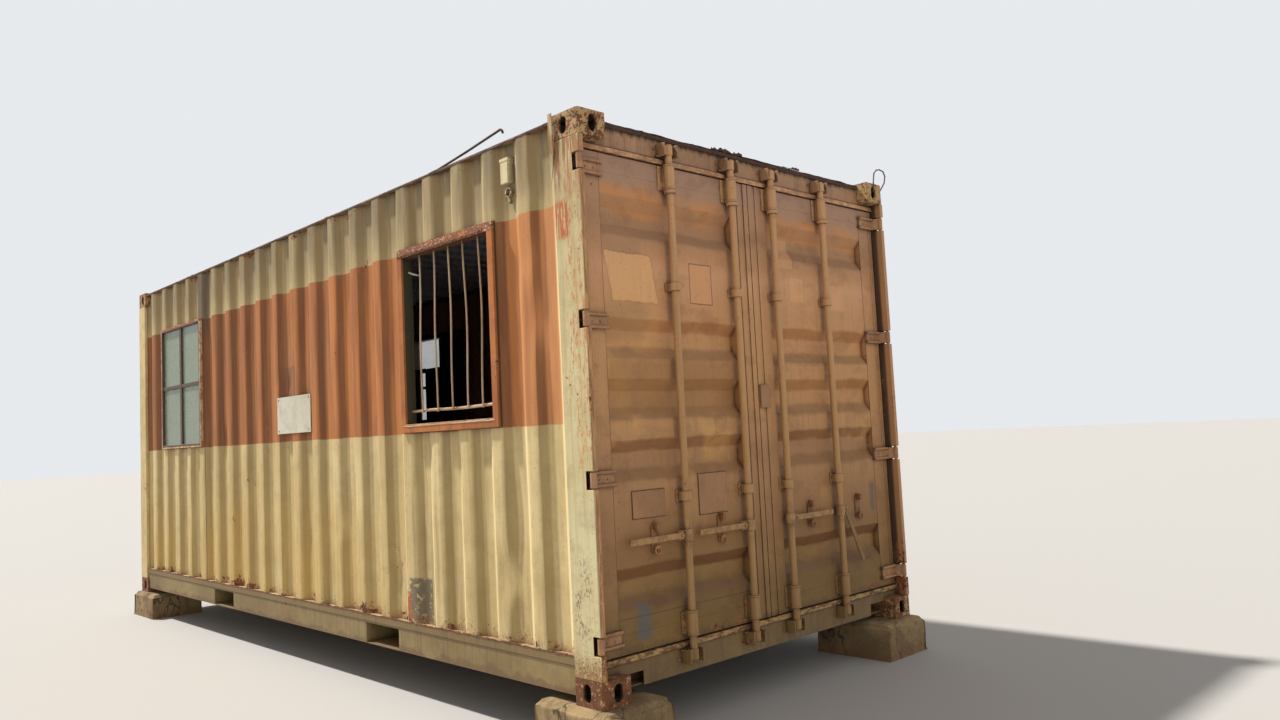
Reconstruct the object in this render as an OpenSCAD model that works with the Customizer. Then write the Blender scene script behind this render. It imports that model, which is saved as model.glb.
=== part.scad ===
// Portable site cabin made from a corrugated steel box with two cargo doors.
// Length runs along X with the doors at +X, the photographed long side faces -Y,
// Z is up and the ground is z = 0. Millimetres.

/* [Shell] */
// Overall length over the corner castings
body_l = 6058; // [3000:1:12192]
// Overall width over the corner castings
body_w = 2438; // [2000:1:2600]
// Height from the underside of the bottom castings to the top of the top ones
body_h = 2591; // [2000:1:2896]
// Thickness of the folded sheets of walls, roof and doors
sheet_t = 3; // [2:0.5:6]
// Wall of posts, rails and other folded sections
tube_t = 6; // [3:0.5:10]

/* [Castings] */
// Length of a corner casting along the long side
cast_l = 178; // [150:1:200]
// Width of a corner casting along the end
cast_w = 162; // [140:1:180]
// Height of a corner casting
cast_h = 118; // [100:1:140]
// Length of the oval slot in the top and bottom faces
slot_l = 124.5; // [100:0.5:130]
// Width of that slot
slot_w = 63.5; // [50:0.5:70]
// Distance of the slot centres from the end faces
slot_a = 102.5; // [90:0.5:110]
// Distance of the slot centres from the side faces
slot_b = 89.5; // [75:0.5:95]
// Height of the oval holes in the side and end faces
side_hole_h = 79.5; // [60:0.5:85]
// Width of those holes
side_hole_w = 51; // [40:0.5:60]
// Rounding of the outer upright edge of a casting
cast_r = 14; // [4:1:25]

/* [Posts] */
// Depth of a door-end post along the long side
door_post_l = 178; // [150:1:220]
// Width of the outer lip of a door-end post, seen from the door end
lip_w = 30; // [20:1:45]
// Inward reach of the door stop on a door-end post
stop_w = 110; // [80:1:150]
// Depth of a front-end post along the long side
front_post_l = 150; // [120:1:180]
// Width of a front-end post across the end
front_post_w = 110; // [80:1:160]

/* [Rails] */
// Height of the bottom side rails
rail_h = 167; // [120:1:200]
// Gap between the casting undersides and the underside of the rails and sill
rail_lift = 36; // [12:1:60]
// Depth of the bottom rails across the width
rail_d = 60; // [40:1:100]
// Side of the top rails, which are angles
top_rail = 60; // [50:1:80]
// Thickness of their upper leg, which covers the top edge of the walls
rail_cap = 12; // [6:1:40]
// Drop of the top rails below the casting tops
top_drop = 16; // [0:1:30]
// Clear width of a fork pocket
fork_w = 360; // [300:1:400]
// Clear height of a fork pocket
fork_h = 112; // [90:1:120]
// Distance between the fork pocket centres
fork_pitch = 2330; // [900:1:2400]
// Distance between cross members
member_pitch = 300; // [200:1:500]
// Thickness of the floor
floor_t = 21; // [18:1:40]
// Height of the floor surface above the casting undersides
floor_z = 178; // [150:1:200]

/* [Corrugation] */
// Pitch of the wall corrugations
wall_pitch = 278; // [200:1:320]
// Width of a flat that stands outward
wall_flat_out = 72; // [50:1:120]
// Width of a flat that lies inward
wall_flat_in = 70; // [50:1:120]
// Depth of the side wall corrugations
wall_depth = 36; // [20:1:50]
// Distance from the door end to the middle of the first slope of the side walls
wall_first = 346; // [170:1:530]
// Inset of the outward flats from the outer faces of the castings
wall_inset = 5; // [2:1:20]
// Pitch of the front wall corrugations
front_pitch = 250; // [200:1:320]
// Depth of the front wall corrugations
front_depth = 44; // [20:1:60]
// Pitch of the roof corrugations
roof_pitch = 209; // [150:1:300]
// Depth of the roof corrugations
roof_depth = 20; // [10:1:40]

/* [Windows] */
// Outside width of a window frame
win_w = 896; // [600:1:1200]
// Outside height of a window frame
win_h = 996; // [600:1:1200]
// Distance from the casting tops down to the top of a window
win_drop = 382; // [120:1:700]
// Distance from the door end to the centre of the barred window
near_end = 1099; // [650:1:1500]
// Distance from the front end to the centre of the glazed window
far_end = 1061; // [620:1:1500]
// Width of the barred window's steel frame
win_bar_frame = 45; // [20:1:80]
// Width of the glazed window's frame
win_glass_frame = 28; // [15:1:60]
// How far a window frame stands out from the outer flats of the wall
win_proud = 18; // [5:1:40]
// Depth of a window frame through the wall
win_depth = 68; // [45:1:100]
// Thickness of the glass
glass_t = 5; // [3:1:10]

/* [Doors] */
// Set-back of the door faces behind the casting faces
door_back = 71; // [45:1:90]
// Thickness of a door frame
door_t = 50; // [30:1:70]
// Gap between each door and the mid line
door_mid_gap = 6; // [4:0.5:12]
// Gap between a door and the post lip
door_side_gap = 5; // [5:0.5:12]
// Underside of the doors above the casting undersides
door_z0 = 185; // [150:1:220]
// Distance from the casting tops down to the top of the doors
door_drop = 161; // [130:1:200]
// Width of the upright members of a door
stile_w = 139; // [60:1:180]
// Height of the top and bottom members of a door
door_rail_h = 84; // [50:1:140]
// Height of a pressed recess in a door panel
recess_h = 186; // [120:1:240]
// Height of each sloping flank of a recess
recess_slope = 55; // [20:1:80]
// Depth of the recesses
recess_d = 36; // [15:1:42]
// Distance between the three middle recesses
recess_pitch = 278; // [230:1:320]
// Distance from the door edges to the middle of the top and bottom recesses
recess_end = 277.5; // [190:0.5:400]

/* [Hinges] */
// Distance of the hinge pins behind the casting end faces
pin_back = 16; // [14:1:30]
// Distance of the hinge pins inside the casting side faces
pin_in = 16; // [14:1:30]
// Radius of a hinge pin
pin_r = 9; // [6:0.5:12]
// Radius of the hinge knuckle
knuckle_r = 15; // [12:0.5:20]
// Height of a hinge blade
blade_h = 66; // [40:1:100]
// Length of a hinge blade from its pin
blade_l = 158; // [100:1:260]
// Thickness of a hinge blade
blade_t = 12; // [8:1:16]
// Clearance above and below a hinge blade
blade_gap = 7; // [5:0.5:12]
// Distance from the door edges to the top and bottom hinges
hinge_end = 77; // [50:1:200]

/* [Lock rods] */
// Distance from the mid line to the inner lock rods
rod_in = 165; // [120:1:300]
// Distance from the mid line to the outer lock rods
rod_out = 620; // [450:1:800]
// Diameter of a lock rod
rod_d = 36; // [25:1:45]
// Distance from the door face to a rod's axis
rod_off = 37; // [28:1:45]
// Radial clearance of a rod in its bearings
rod_fit = 0.4; // [0.3:0.1:1]
// Underside of the rods above the casting undersides
rod_z0 = 98; // [60:1:150]
// Distance from the casting tops down to the top of the rods
rod_drop = 63; // [40:1:100]
// Reach of a cam lobe from the rod axis
cam_reach = 32; // [24:1:36]
// Thickness of a cam along the rod
cam_h = 46; // [20:1:60]
// Clearance between a cam and its keeper
cam_gap = 7; // [5:0.5:12]
// Height of the handle hubs above the casting undersides
hub_z = 668; // [500:1:1200]
// Distance from a rod axis to its handle's pivot
pivot_off = 46; // [44:1:70]
// Length of a handle from its pivot to its tip
handle_l = 330; // [200:1:360]
// Width of a handle
handle_w = 28; // [20:1:36]
// Thickness of a handle
handle_t = 8; // [5:1:10]
// Distance from a left rod axis to its handle catch
left_catch_off = 185; // [150:1:280]
// Distance from a right rod axis to its handle catch
right_catch_off = 218; // [150:1:280]
// Angle below level at which the loose handle hangs
loose_angle = 64; // [0:1:90]

/* [Fittings] */
// Length of the bare sign board
sign_l = 494; // [200:1:900]
// Height of the bare sign board
sign_h = 240; // [100:1:500]
// Length of a concrete block along the long side
block_l = 500; // [300:1:800]
// Width of a concrete block across the end
block_w = 400; // [200:1:600]
// Height of a concrete block
block_h = 200; // [100:1:400]
// Chamfer around the top of a block
block_c = 26; // [5:1:50]

/* [Hidden] */
$fn = 32;
fit = 0.3;
half_l = body_l / 2;
half_w = body_w / 2;
base = block_h;
top_z = base + body_h;
rail_bottom = base + rail_lift;
rail_top = rail_bottom + rail_h;
rail_x0 = -half_l + max(cast_l, front_post_l) + fit;
rail_x1 = half_l - max(cast_l, door_post_l) - fit;
pocket_t = 4;
member_z = rail_bottom + 5 + fit;
member_h = base + floor_z - floor_t - member_z;
roof_z = top_z - top_drop;
post_z0 = base + cast_h;
post_z1 = top_z - cast_h;
face_x = half_l - door_back;
pin_x = half_l - pin_back;
pin_y = half_w - pin_in;
rod_x = face_x + rod_off;
rod_z1 = body_h - rod_drop;
rod_r = rod_d / 2;
door_y0 = door_mid_gap;
door_y1 = half_w - lip_w - door_side_gap;
door_w = door_y1 - door_y0;
door_z1 = body_h - door_drop;
door_bottom = base + door_z0;
door_top = base + door_z1;
door_mid = (door_bottom + door_top) / 2;
gasket_t = 8;
stop_a = door_back + door_t + gasket_t + 7;
knuckle_gap = 0.5;
notch_h = blade_h + 2 * blade_gap;
hinge_z = [for (i = [0:3]) door_bottom + hinge_end + i * (door_z1 - door_z0 - 2 * hinge_end) / 3];
recess_far = (door_z1 - door_z0) / 2 - recess_end;
recess_z = [for (d = [-recess_far, -recess_pitch, 0, recess_pitch, recess_far]) door_mid + d];
wall_slope = (wall_pitch - wall_flat_out - wall_flat_in) / 2;
wall_phase = half_l - wall_first;
wall_n = ceil((wall_phase + half_l) / wall_pitch);
win_near = half_l - near_end;
win_far = half_l - far_end;
win_z = body_h - win_drop - win_h / 2;
win_bottom = base + win_z - win_h / 2;
roof_n = floor(half_l / roof_pitch);
front_n = ceil(half_w / front_pitch);
hub_r = rod_r + 7;
tab_t = 8;
handle_x = rod_x + 1;
keeper_in = cam_reach + cam_gap;

// paint and metal colours
cream = [0.82, 0.78, 0.60];
mauve = [0.60, 0.47, 0.37];
rust = [0.50, 0.30, 0.20];
olive = [0.46, 0.42, 0.30];
steel = [0.66, 0.60, 0.48];

// child drawn in corner coordinates: x runs in from the end face, y in from the side face
module corner() translate([half_l, half_w, 0]) rotate([0, 0, 180]) children();

// the child at both ends of the length
module both_x() for (s = [0, 1]) mirror([s, 0, 0]) children();

// the child on both sides of the width
module both_y() for (s = [0, 1]) mirror([0, s, 0]) children();

// a profile given as [y, z] drawn out along X
module along_x(l) rotate([90, 0, 90]) linear_extrude(height = l, center = true) children();

// the same between the posts, from end to end of the side rails
module between_posts() translate([(rail_x0 + rail_x1) / 2, 0, 0]) along_x(rail_x1 - rail_x0) children();

// a profile given as [x, z] drawn out along Y
module along_y(l) rotate([90, 0, 0]) linear_extrude(height = l, center = true) children();

// an upright box from its lower corner to its upper corner
module box(p, q) translate(p) cube(q - p);

// an oval with half-round ends, its length along x
module oval(l, w) {
    square([l - w, w], center = true);
    for (s = [-1, 1]) translate([s * (l - w) / 2, 0]) circle(d = w);
}

// rectangle with its first corner rounded
module corner_square(l, w, r) {
    translate([r, 0]) square([l - r, w]);
    translate([0, r]) square([l, w - r]);
    translate([r, r]) circle(r);
}

// points of a trapezoid wave: outward flat, slope, inward flat, slope
function wave(n, x0, pitch, out, in, d) = let (s = (pitch - out - in) / 2)
    [for (i = [0:n - 1], k = [0:3]) [x0 + i * pitch + [0, out, out + s, out + s + in][k], k < 2 ? 0 : d]];

// that wave as a sheet of thickness t
module wave_sheet(w, t) {
    n = len(w);
    polygon(concat(w, [for (i = [n - 1:-1:0]) w[i] + [0, t]]));
}

// square tube profile from [0, 0], wall t
module tube_profile(w, h, t) difference() {
    square([w, h]);
    translate([t, t]) square([w - 2 * t, h - 2 * t]);
}

module concrete_blocks() color([0.62, 0.56, 0.47]) both_x() both_y()
    corner() translate([-72, -42, 0]) difference() {
        cube([block_l, block_w, block_h]);
        for (y = [0, block_w]) translate([block_l / 2, y, block_h]) rotate([45, 0, 0])
            cube([block_l + 2, block_c * sqrt(2), block_c * sqrt(2)], center = true);
        for (x = [0, block_l]) translate([x, block_w / 2, block_h]) rotate([0, 45, 0])
            cube([block_c * sqrt(2), block_w + 2, block_c * sqrt(2)], center = true);
    }

// a hollow casting, slot upward, with one hole in its side face and one in its end face
module casting() difference() {
    linear_extrude(height = cast_h) corner_square(cast_l, cast_w, cast_r);
    box([18, 16, 12], [cast_l - 12, cast_w - 12, cast_h - 28]);
    translate([slot_a, slot_b, cast_h - 40]) linear_extrude(height = 50) oval(slot_l, slot_w);
    translate([slot_a, 30, cast_h / 2]) rotate([90, 90, 0])
        linear_extrude(height = 40) oval(side_hole_h, side_hole_w);
    translate([-10, slot_b, cast_h / 2]) rotate([0, 90, 0])
        linear_extrude(height = 40) oval(side_hole_h, side_hole_w);
}

module corner_castings() color(rust) both_x() both_y() corner() {
    translate([0, 0, post_z1]) casting();
    translate([0, 0, post_z0]) mirror([0, 0, 1]) casting();
}

// section of a door-end post in corner coordinates: outer lip, door stop and side face
module door_post_profile(o) polygon([[o, o], [o, lip_w - o], [stop_a + o, lip_w - o],
    [stop_a + o, stop_w - o], [door_post_l - o, stop_w - o], [door_post_l - o, o]]);

module door_end_posts() color(cream) both_y() corner() difference() {
    union() {
        translate([0, 0, post_z0]) linear_extrude(height = post_z1 - post_z0) difference() {
            door_post_profile(0);
            door_post_profile(tube_t);
        }
        for (z = hinge_z) box([1, 1, z - notch_h / 2 - 14], [96, lip_w - 1, z + notch_h / 2 + 14]);
    }
    for (z = hinge_z) translate([0, 0, z - notch_h / 2]) linear_extrude(height = notch_h) difference() {
        polygon([[-1, -1], [44, -1], [80, lip_w + 1], [-1, lip_w + 1]]);
        translate([pin_back, pin_in]) circle(pin_r);
    }
}

module front_end_posts() color(cream) both_y() mirror([1, 0, 0]) corner()
    translate([0, 0, post_z0]) linear_extrude(height = post_z1 - post_z0)
        tube_profile(front_post_l, front_post_w, tube_t);

module door_header() color(mauve) {
    z0 = door_top + 6;
    along_y(body_w - 2 * cast_w - 2 * fit) translate([face_x - 98, post_z1])
        tube_profile(98, roof_z - post_z1 + 4, tube_t);
    along_y(body_w - 2 * cast_w - 2 * fit) translate([face_x - tube_t, post_z1 - 2]) square([tube_t, tube_t]);
    along_y(body_w - 2 * lip_w - 2 * fit) polygon([[half_l - stop_a + fit, z0], [face_x + 12, z0],
        [face_x + 12, z0 + 22], [face_x, z0 + 28], [face_x, post_z1 - fit], [face_x - tube_t, post_z1 - fit],
        [face_x - tube_t, z0 + tube_t], [half_l - stop_a + fit, z0 + tube_t]]);
    along_y(body_w - 2 * stop_w - 2 * fit) translate([half_l - stop_a - tube_t, z0 - 20])
        square([tube_t + 1, post_z1 - z0 + 20 - fit]);
}

module door_sill() color(olive) {
    z1 = base + floor_z;
    difference() {
        along_y(body_w - 2 * cast_w - 2 * fit) translate([face_x - 98, rail_bottom])
            tube_profile(98, z1 - rail_bottom, tube_t);
        both_y() box([face_x - 20, half_w - cast_w - 145, rail_bottom - 1],
            [face_x + 20, half_w - cast_w + 1, base + 100]);
    }
    along_y(body_w - 2 * lip_w - 2 * fit) polygon([[face_x - tube_t, post_z0 + fit],
        [face_x, post_z0 + fit], [face_x, z1 - 30], [face_x + 12, z1 - 24], [face_x + 12, z1],
        [half_l - stop_a + fit, z1], [half_l - stop_a + fit, z1 - tube_t], [face_x - tube_t, z1 - tube_t]]);
}

module front_rails() color(cream) mirror([1, 0, 0]) {
    along_y(body_w - 2 * cast_w - 2 * fit) translate([half_l - 70, post_z1]) tube_profile(64, roof_z - post_z1, 5);
    along_y(body_w - 2 * cast_w - 2 * fit) translate([half_l - 70, rail_bottom])
        tube_profile(64, rail_h, 5);
}

module top_side_rails() color(cream) both_y()
    between_posts() translate([half_w - top_rail - 6, roof_z]) polygon([[0, 0], [top_rail, 0],
        [top_rail, -rail_cap], [5, -rail_cap], [5, -top_rail], [0, -top_rail]]);

module bottom_side_rails() color(olive) both_y() difference() {
    between_posts() translate([half_w, 0]) polygon([[-5, rail_top], [-5, rail_top - 40],
        [-10, rail_top - 42], [-10, rail_bottom], [-rail_d, rail_bottom], [-rail_d, rail_bottom + 5],
        [-15, rail_bottom + 5], [-15, rail_top - 5], [-rail_d, rail_top - 5], [-rail_d, rail_top]]);
    for (x = [-1, 1]) translate([x * fork_pitch / 2 - fork_w / 2 - pocket_t - fit, half_w - rail_d - 1, rail_bottom - 1])
        cube([fork_w + 2 * pocket_t + 2 * fit, rail_d + 2, fork_h + 2 * pocket_t + fit + 1]);
}

module fork_pockets() color(olive) for (x = [-1, 1])
    along_y(body_w - 22) translate([x * fork_pitch / 2 - fork_w / 2 - pocket_t, rail_bottom])
        tube_profile(fork_w + 2 * pocket_t, fork_h + 2 * pocket_t, pocket_t);

module cross_members() color(olive) {
    n = floor((half_l - cast_l - 60) / member_pitch);
    for (i = [-n:n]) if (abs(abs(i * member_pitch) - fork_pitch / 2) > fork_w / 2 + 60)
        along_y(body_w - 32) translate([i * member_pitch, member_z]) polygon([[-22, 0], [22, 0], [22, 5],
            [-17, 5], [-17, member_h - 5], [22, member_h - 5], [22, member_h], [-22, member_h]]);
}

module floor() color([0.45, 0.36, 0.26]) difference() {
    box([-half_l + 72, -half_w + 16, base + floor_z - floor_t],
        [face_x - 99, half_w - 16, base + floor_z - fit]);
    both_y() corner() translate([0, 0, base]) {
        box([-1, -1, 0], [door_post_l + 1, stop_w + 1, body_h]);
        translate([body_l - front_post_l - 1, -1, 0]) cube([front_post_l + 2, front_post_w + 2, body_h]);
    }
    both_y() box([-half_l, half_w - rail_d - fit, base], [half_l, half_w, base + floor_z + 1]);
}

// room for the castings, cut out of the sheets that run past them
module casting_room() both_x() both_y() corner() for (z = [base, post_z1])
    translate([-1, -1, z - fit]) cube([cast_l + 1 + fit, cast_w + 1 + fit, cast_h + 2 * fit]);

// corrugated long wall on the +Y side with two window openings
module side_wall() difference() {
    translate([0, 0, rail_top]) linear_extrude(height = roof_z - rail_cap - rail_top) intersection() {
        translate([0, half_w - wall_inset]) wave_sheet(wave(wall_n + 2,
            wall_phase - wall_slope / 2 - wall_flat_out - wall_n * wall_pitch, wall_pitch,
            wall_flat_out, wall_flat_in, -wall_depth), -sheet_t);
        translate([-half_l + front_post_l + fit, 0]) square([body_l - front_post_l - door_post_l - 2 * fit, half_w]);
    }
    for (x = [win_near, -win_far]) translate([x, half_w, base + win_z])
        cube([win_w + 2 * fit, 200, win_h + 2 * fit], center = true);
    casting_room();
}

module window_side_wall() color(cream) mirror([0, 1, 0]) side_wall();

module rear_side_wall() color(cream) side_wall();

module front_wall() color(cream) translate([0, 0, rail_top])
    linear_extrude(height = post_z1 - rail_top) intersection() {
        translate([-half_l + 12, 0]) rotate([0, 0, -90]) translate([-front_n * front_pitch + front_pitch / 2 - 55, 0])
            wave_sheet(wave(2 * front_n, 0, front_pitch, 110, 90, front_depth), sheet_t);
        translate([-half_l, -half_w + front_post_w + fit]) square([200, body_w - 2 * front_post_w - 2 * fit]);
    }

module roof_sheet() color(cream) difference() {
    intersection() {
        along_y(body_w - 2 * top_rail - 12 - 2 * fit) translate([0, roof_z]) mirror([0, 1])
            wave_sheet(wave(2 * roof_n, -roof_n * roof_pitch, roof_pitch, 90, 80, roof_depth), sheet_t);
        box([-half_l + 70, -half_w, 0], [face_x - 98 - fit, half_w, top_z]);
    }
    casting_room();
}

// a window frame on the +Y side: ring of width w with its outer face proud of the wall
module window_ring(w) difference() {
    translate([0, half_w - wall_inset + win_proud - win_depth / 2, base + win_z]) difference() {
        cube([win_w, win_depth, win_h], center = true);
        cube([win_w - 2 * w, win_depth + 2, win_h - 2 * w], center = true);
    }
}

module barred_window_frames() color([0.62, 0.36, 0.22]) both_y() translate([win_near, 0, 0]) window_ring(win_bar_frame);

module glazed_window_frames() color([0.70, 0.70, 0.62]) both_y() translate([-win_far, 0, 0]) {
    y = half_w - wall_inset + win_proud;
    window_ring(win_glass_frame);
    box([-20, y - 34, win_bottom + win_glass_frame], [20, y - 6, win_bottom + win_h - win_glass_frame]);
    box([-win_w / 2 + win_glass_frame, y - 30, base + win_z - 14],
        [win_w / 2 - win_glass_frame, y - 8, base + win_z + 14]);
}

module window_glass() color([0.60, 0.70, 0.66, 0.45]) both_y() translate([-win_far, 0, 0]) {
    y = half_w - wall_inset + win_proud - 22;
    w = win_w / 2 - win_glass_frame - 20;
    h = win_h / 2 - win_glass_frame - 14;
    for (sx = [-1, 1], sz = [-1, 1]) translate([sx * (20 + w / 2), y, base + win_z + sz * (14 + h / 2)])
        cube([w - 2 * fit, glass_t, h - 2 * fit], center = true);
}

module sign_board() color([0.88, 0.88, 0.84])
    box([-145, -half_w + wall_inset - 5, base + 1262], [-145 + sign_l, -half_w + wall_inset - fit, base + 1262 + sign_h]);

// small box high on the wall with the stub of a broken fitting under it
module switch_box() color([0.85, 0.85, 0.80]) {
    x = wall_phase - wall_pitch + wall_slope / 2 + wall_flat_in / 2;
    y = -half_w + wall_inset + wall_depth - fit;
    box([x - 31, y - 34, top_z - 221], [x + 31, y, top_z - 99]);
    translate([x + 4, y, top_z - 263]) rotate([90, 0, 0]) difference() {
        cylinder(r = 24, h = 20);
        translate([0, 0, 6]) cylinder(r = 17, h = 20);
    }
}

// round bar through a list of points
module bent_bar(p, r) {
    for (i = [0:len(p) - 2]) {
        d = p[i + 1] - p[i];
        translate(p[i]) rotate([0, acos(d[2] / norm(d)), atan2(d[1], d[0])]) cylinder(r = r, h = norm(d));
        translate(p[i + 1]) sphere(r * 1.1);
    }
}

// thin rod left on the roof edge, hooked at its free end
module roof_rod() color(rust) translate([half_l, -half_w, roof_z]) {
    bent_bar([[-1529, 51, 6.3], [-1269, 47, 12], [-909, 35, 42], [-599, 23, 72]], 6);
    translate([-599, 23, 50]) rotate([90, 0, 0]) rotate_extrude(angle = 90) translate([22, 0]) circle(6);
}

// loop of wire from the end hole to the side hole of the far top casting at the door end
module wire_loop() color([0.35, 0.33, 0.30]) translate([half_l, half_w, top_z]) {
    h = cast_h / 2;
    bent_bar([[-34, -slot_b, 4 - h], [4.4, -slot_b, 14 - h], [4.4, 1 - slot_b, 8], [5, 12 - slot_b, 64],
        [7, -54, 87], [9, -19, 95], [12, 17, 87], [14, 31, 59], [7, 29, 19], [-19, 21, -23],
        [24 - slot_a, 13, 12 - h], [4 - slot_a, 3, 4 - h], [-slot_a, -29, -h]], 4);
}

// one keeper on the +Y side: a back plate and two cheeks, open to the front
module keeper() {
    for (s = [-1, 1]) box([0, s > 0 ? keeper_in : -keeper_in - 8, -31], [rod_off + 22, s > 0 ? keeper_in + 8 : -keeper_in, 31]);
    box([0, -keeper_in - 8, -31], [6, keeper_in + 8, 31]);
    for (s = [-1, 1]) box([0, s > 0 ? keeper_in : -keeper_in - 8, -31], [18, s > 0 ? keeper_in + 20 : -keeper_in, -23]);
}

module cam_keepers() color(rust) both_y() for (y = [rod_in, rod_out]) {
    translate([face_x, y, base + rod_z1 - 28]) keeper();
    translate([face_x, y, base + rod_z0 + 16]) mirror([0, 0, 1]) keeper();
}

// frame of the door on the +Y side: two stiles and two rails, open toward the cabin, with cover strips
module door_frame() difference() {
    union() {
        difference() {
            box([face_x - door_t, door_y0, door_bottom], [face_x, door_y1, door_top]);
            box([face_x - door_t - 1, door_y0 + stile_w, door_bottom + door_rail_h],
                [face_x + 1, door_y1 - stile_w, door_top - door_rail_h]);
        }
        box([face_x, door_y0 - 3, door_bottom], [face_x + 6, door_y0 + 30, door_top]);
        box([face_x, door_y0 + 56, door_bottom], [face_x + 4, door_y0 + 82, door_top]);
    }
    for (y = [door_y0 + tube_t, door_y1 - stile_w + tube_t])
        box([face_x - door_t - 1, y, door_bottom + tube_t], [face_x - tube_t, y + stile_w - 2 * tube_t, door_top - tube_t]);
    for (z = [door_bottom + tube_t, door_top - door_rail_h + tube_t])
        box([face_x - door_t - 1, door_y0 + stile_w - 1, z],
            [face_x - tube_t, door_y1 - stile_w + 1, z + door_rail_h - 2 * tube_t]);
}

// pressed panel of that door with five long recesses
module door_panel() {
    z0 = door_bottom + door_rail_h + fit;
    z1 = door_top - door_rail_h - fit;
    front = concat([[0, z0]], [for (z = recess_z, p = [[0, -recess_h / 2], [-recess_d, -recess_h / 2 + recess_slope],
        [-recess_d, recess_h / 2 - recess_slope], [0, recess_h / 2]]) [p[0], z + p[1]]], [[0, z1]]);
    n = len(front);
    translate([face_x, (door_y0 + door_y1) / 2, 0]) along_y(door_w - 2 * stile_w - 2 * fit)
        polygon(concat(front, [for (i = [n - 1:-1:0]) front[i] - [sheet_t, 0]]));
}

// rubber seal round the inner edge of that door
module door_gasket() difference() {
    box([face_x - door_t - gasket_t, door_y0 + 2, door_bottom + 2], [face_x - door_t - fit, door_y1 - 2, door_top - 2]);
    box([face_x - door_t - gasket_t - 1, door_y0 + 36, door_bottom + 36], [face_x, door_y1 - 36, door_top - 36]);
}

// cranked hinge blades of that door, drawn as [x, y] from the pin
module hinge_blades() for (z = hinge_z) translate([pin_x, pin_y, z - blade_h / 2]) linear_extrude(height = blade_h) {
    v = pin_back - door_back;
    difference() {
        union() {
            circle(knuckle_r);
            polygon([[4, -9], [v + blade_t, -38], [v + blade_t, -blade_l], [v + fit, -blade_l],
                [v + fit, -24], [-14, 4]]);
        }
        circle(pin_r + knuckle_gap);
    }
}

// bearing on a door for one rod: block with a round front and a fixing plate, height h
module bearing(h, plate_w, plate_h) difference() {
    union() {
        linear_extrude(height = h, center = true) {
            circle(rod_r + 8);
            translate([-rod_off + fit, -rod_r]) square([rod_off, rod_d]);
        }
        box([-rod_off + fit, -plate_w / 2, -plate_h / 2], [-rod_off + 6, plate_w / 2, plate_h / 2]);
    }
    cylinder(r = rod_r + rod_fit, h = h + 2, center = true);
}

module rod_bearings() for (y = [rod_in, rod_out]) translate([rod_x, y, base]) {
    translate([0, 0, door_z1 - 62]) bearing(124, 96, 118);
    translate([0, 0, door_z1 - 132]) difference() {
        cylinder(r = rod_r + 12, h = 16, center = true);
        cylinder(r = rod_r + rod_fit, h = 20, center = true);
    }
    translate([0, 0, door_z1 - 593]) bearing(38, 68, 38);
    translate([0, 0, hub_z + 180]) bearing(42, 68, 60);
    translate([0, 0, door_z0 + 77]) bearing(112, 80, 100);
}

// catch behind a handle: plate, upper hook and a hanging ring, all behind the handle's sweep
module handle_catches(off) for (y = [rod_in, rod_out]) translate([face_x, y + off, base + hub_z]) {
    box([fit, -22, -58], [6, 22, 62]);
    box([fit, -9, 40], [rod_off - 5, 9, 74]);
    box([fit, -14, -44], [26, 14, -30]);
    translate([22, 0, -52]) rotate([0, 90, 0]) rotate_extrude() translate([17, 0]) circle(4);
}

module door_plate(y0, z0, y1, z1, t) box([face_x + fit, y0, base + z0], [face_x + t, y1, base + z1]);

// cam at one end of a rod: round head with one lobe that points away from the mid line
module cam() linear_extrude(height = cam_h) {
    circle(rod_r + 4);
    polygon([[-14, 0], [14, 0], [9, cam_reach], [-9, cam_reach]]);
}

// rod with both cams, hub, handle tab and pivot pin, seen on the +Y side
module lock_rod() translate([rod_x, 0, base]) {
    difference() {
        translate([0, 0, rod_z0]) cylinder(r = rod_r, h = rod_z1 - rod_z0);
        translate([0, 0, rod_z0 - 1]) cylinder(r = rod_r - 4, h = 60);
    }
    translate([0, 0, rod_z0]) cam();
    translate([0, 0, rod_z1 - cam_h - 6]) cam();
    translate([0, 0, hub_z - 26]) cylinder(r = hub_r, h = 52);
    box([-tab_t, 0, hub_z - 22], [0, pivot_off + 18, hub_z + 22]);
    translate([-tab_t - 3, pivot_off, hub_z]) rotate([0, 90, 0]) cylinder(r = 6, h = tab_t + handle_t + 8);
}

// handle level, pointing away from the mid line, pivot at the origin
module handle() rotate([90, 0, 90]) linear_extrude(height = handle_t) difference() {
    union() {
        circle(17);
        polygon([[0, -handle_w / 2], [handle_l - 4, -handle_w / 2], [handle_l, 4 - handle_w / 2],
            [handle_l, handle_w / 2 - 4], [handle_l - 4, handle_w / 2], [0, handle_w / 2]]);
    }
    circle(6 + fit);
}

module handle_at(y, a) translate([handle_x, y + pivot_off, base + hub_z]) rotate([a, 0, 0]) handle();

module left() mirror([0, 1, 0]) children();

module left_door_frame() color(mauve) left() door_frame();

module left_door_panel() color(mauve) left() door_panel();

module left_door_gasket() color([0.15, 0.15, 0.15]) left() door_gasket();

module left_hinge_blades() color(steel) left() hinge_blades();

module left_rod_bearings() color(steel) left() rod_bearings();

module left_handle_catches() color(rust) left() handle_catches(left_catch_off);

module left_door_plates() color(mauve) left() {
    door_plate(728, 768, 934, 889, 4);
    door_plate(290, 748, 492, 940, 4);
}

module right_door_frame() color(mauve) door_frame();

module right_door_panel() color(mauve) door_panel();

module right_door_gasket() color([0.15, 0.15, 0.15]) door_gasket();

module right_hinge_blades() color(steel) hinge_blades();

module right_rod_bearings() color(steel) rod_bearings();

module right_handle_catches() color(rust) handle_catches(right_catch_off);

module right_door_plate() color(mauve) translate([6, 0, 0]) door_plate(8, 1252, 84, 1372, 10);

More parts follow.
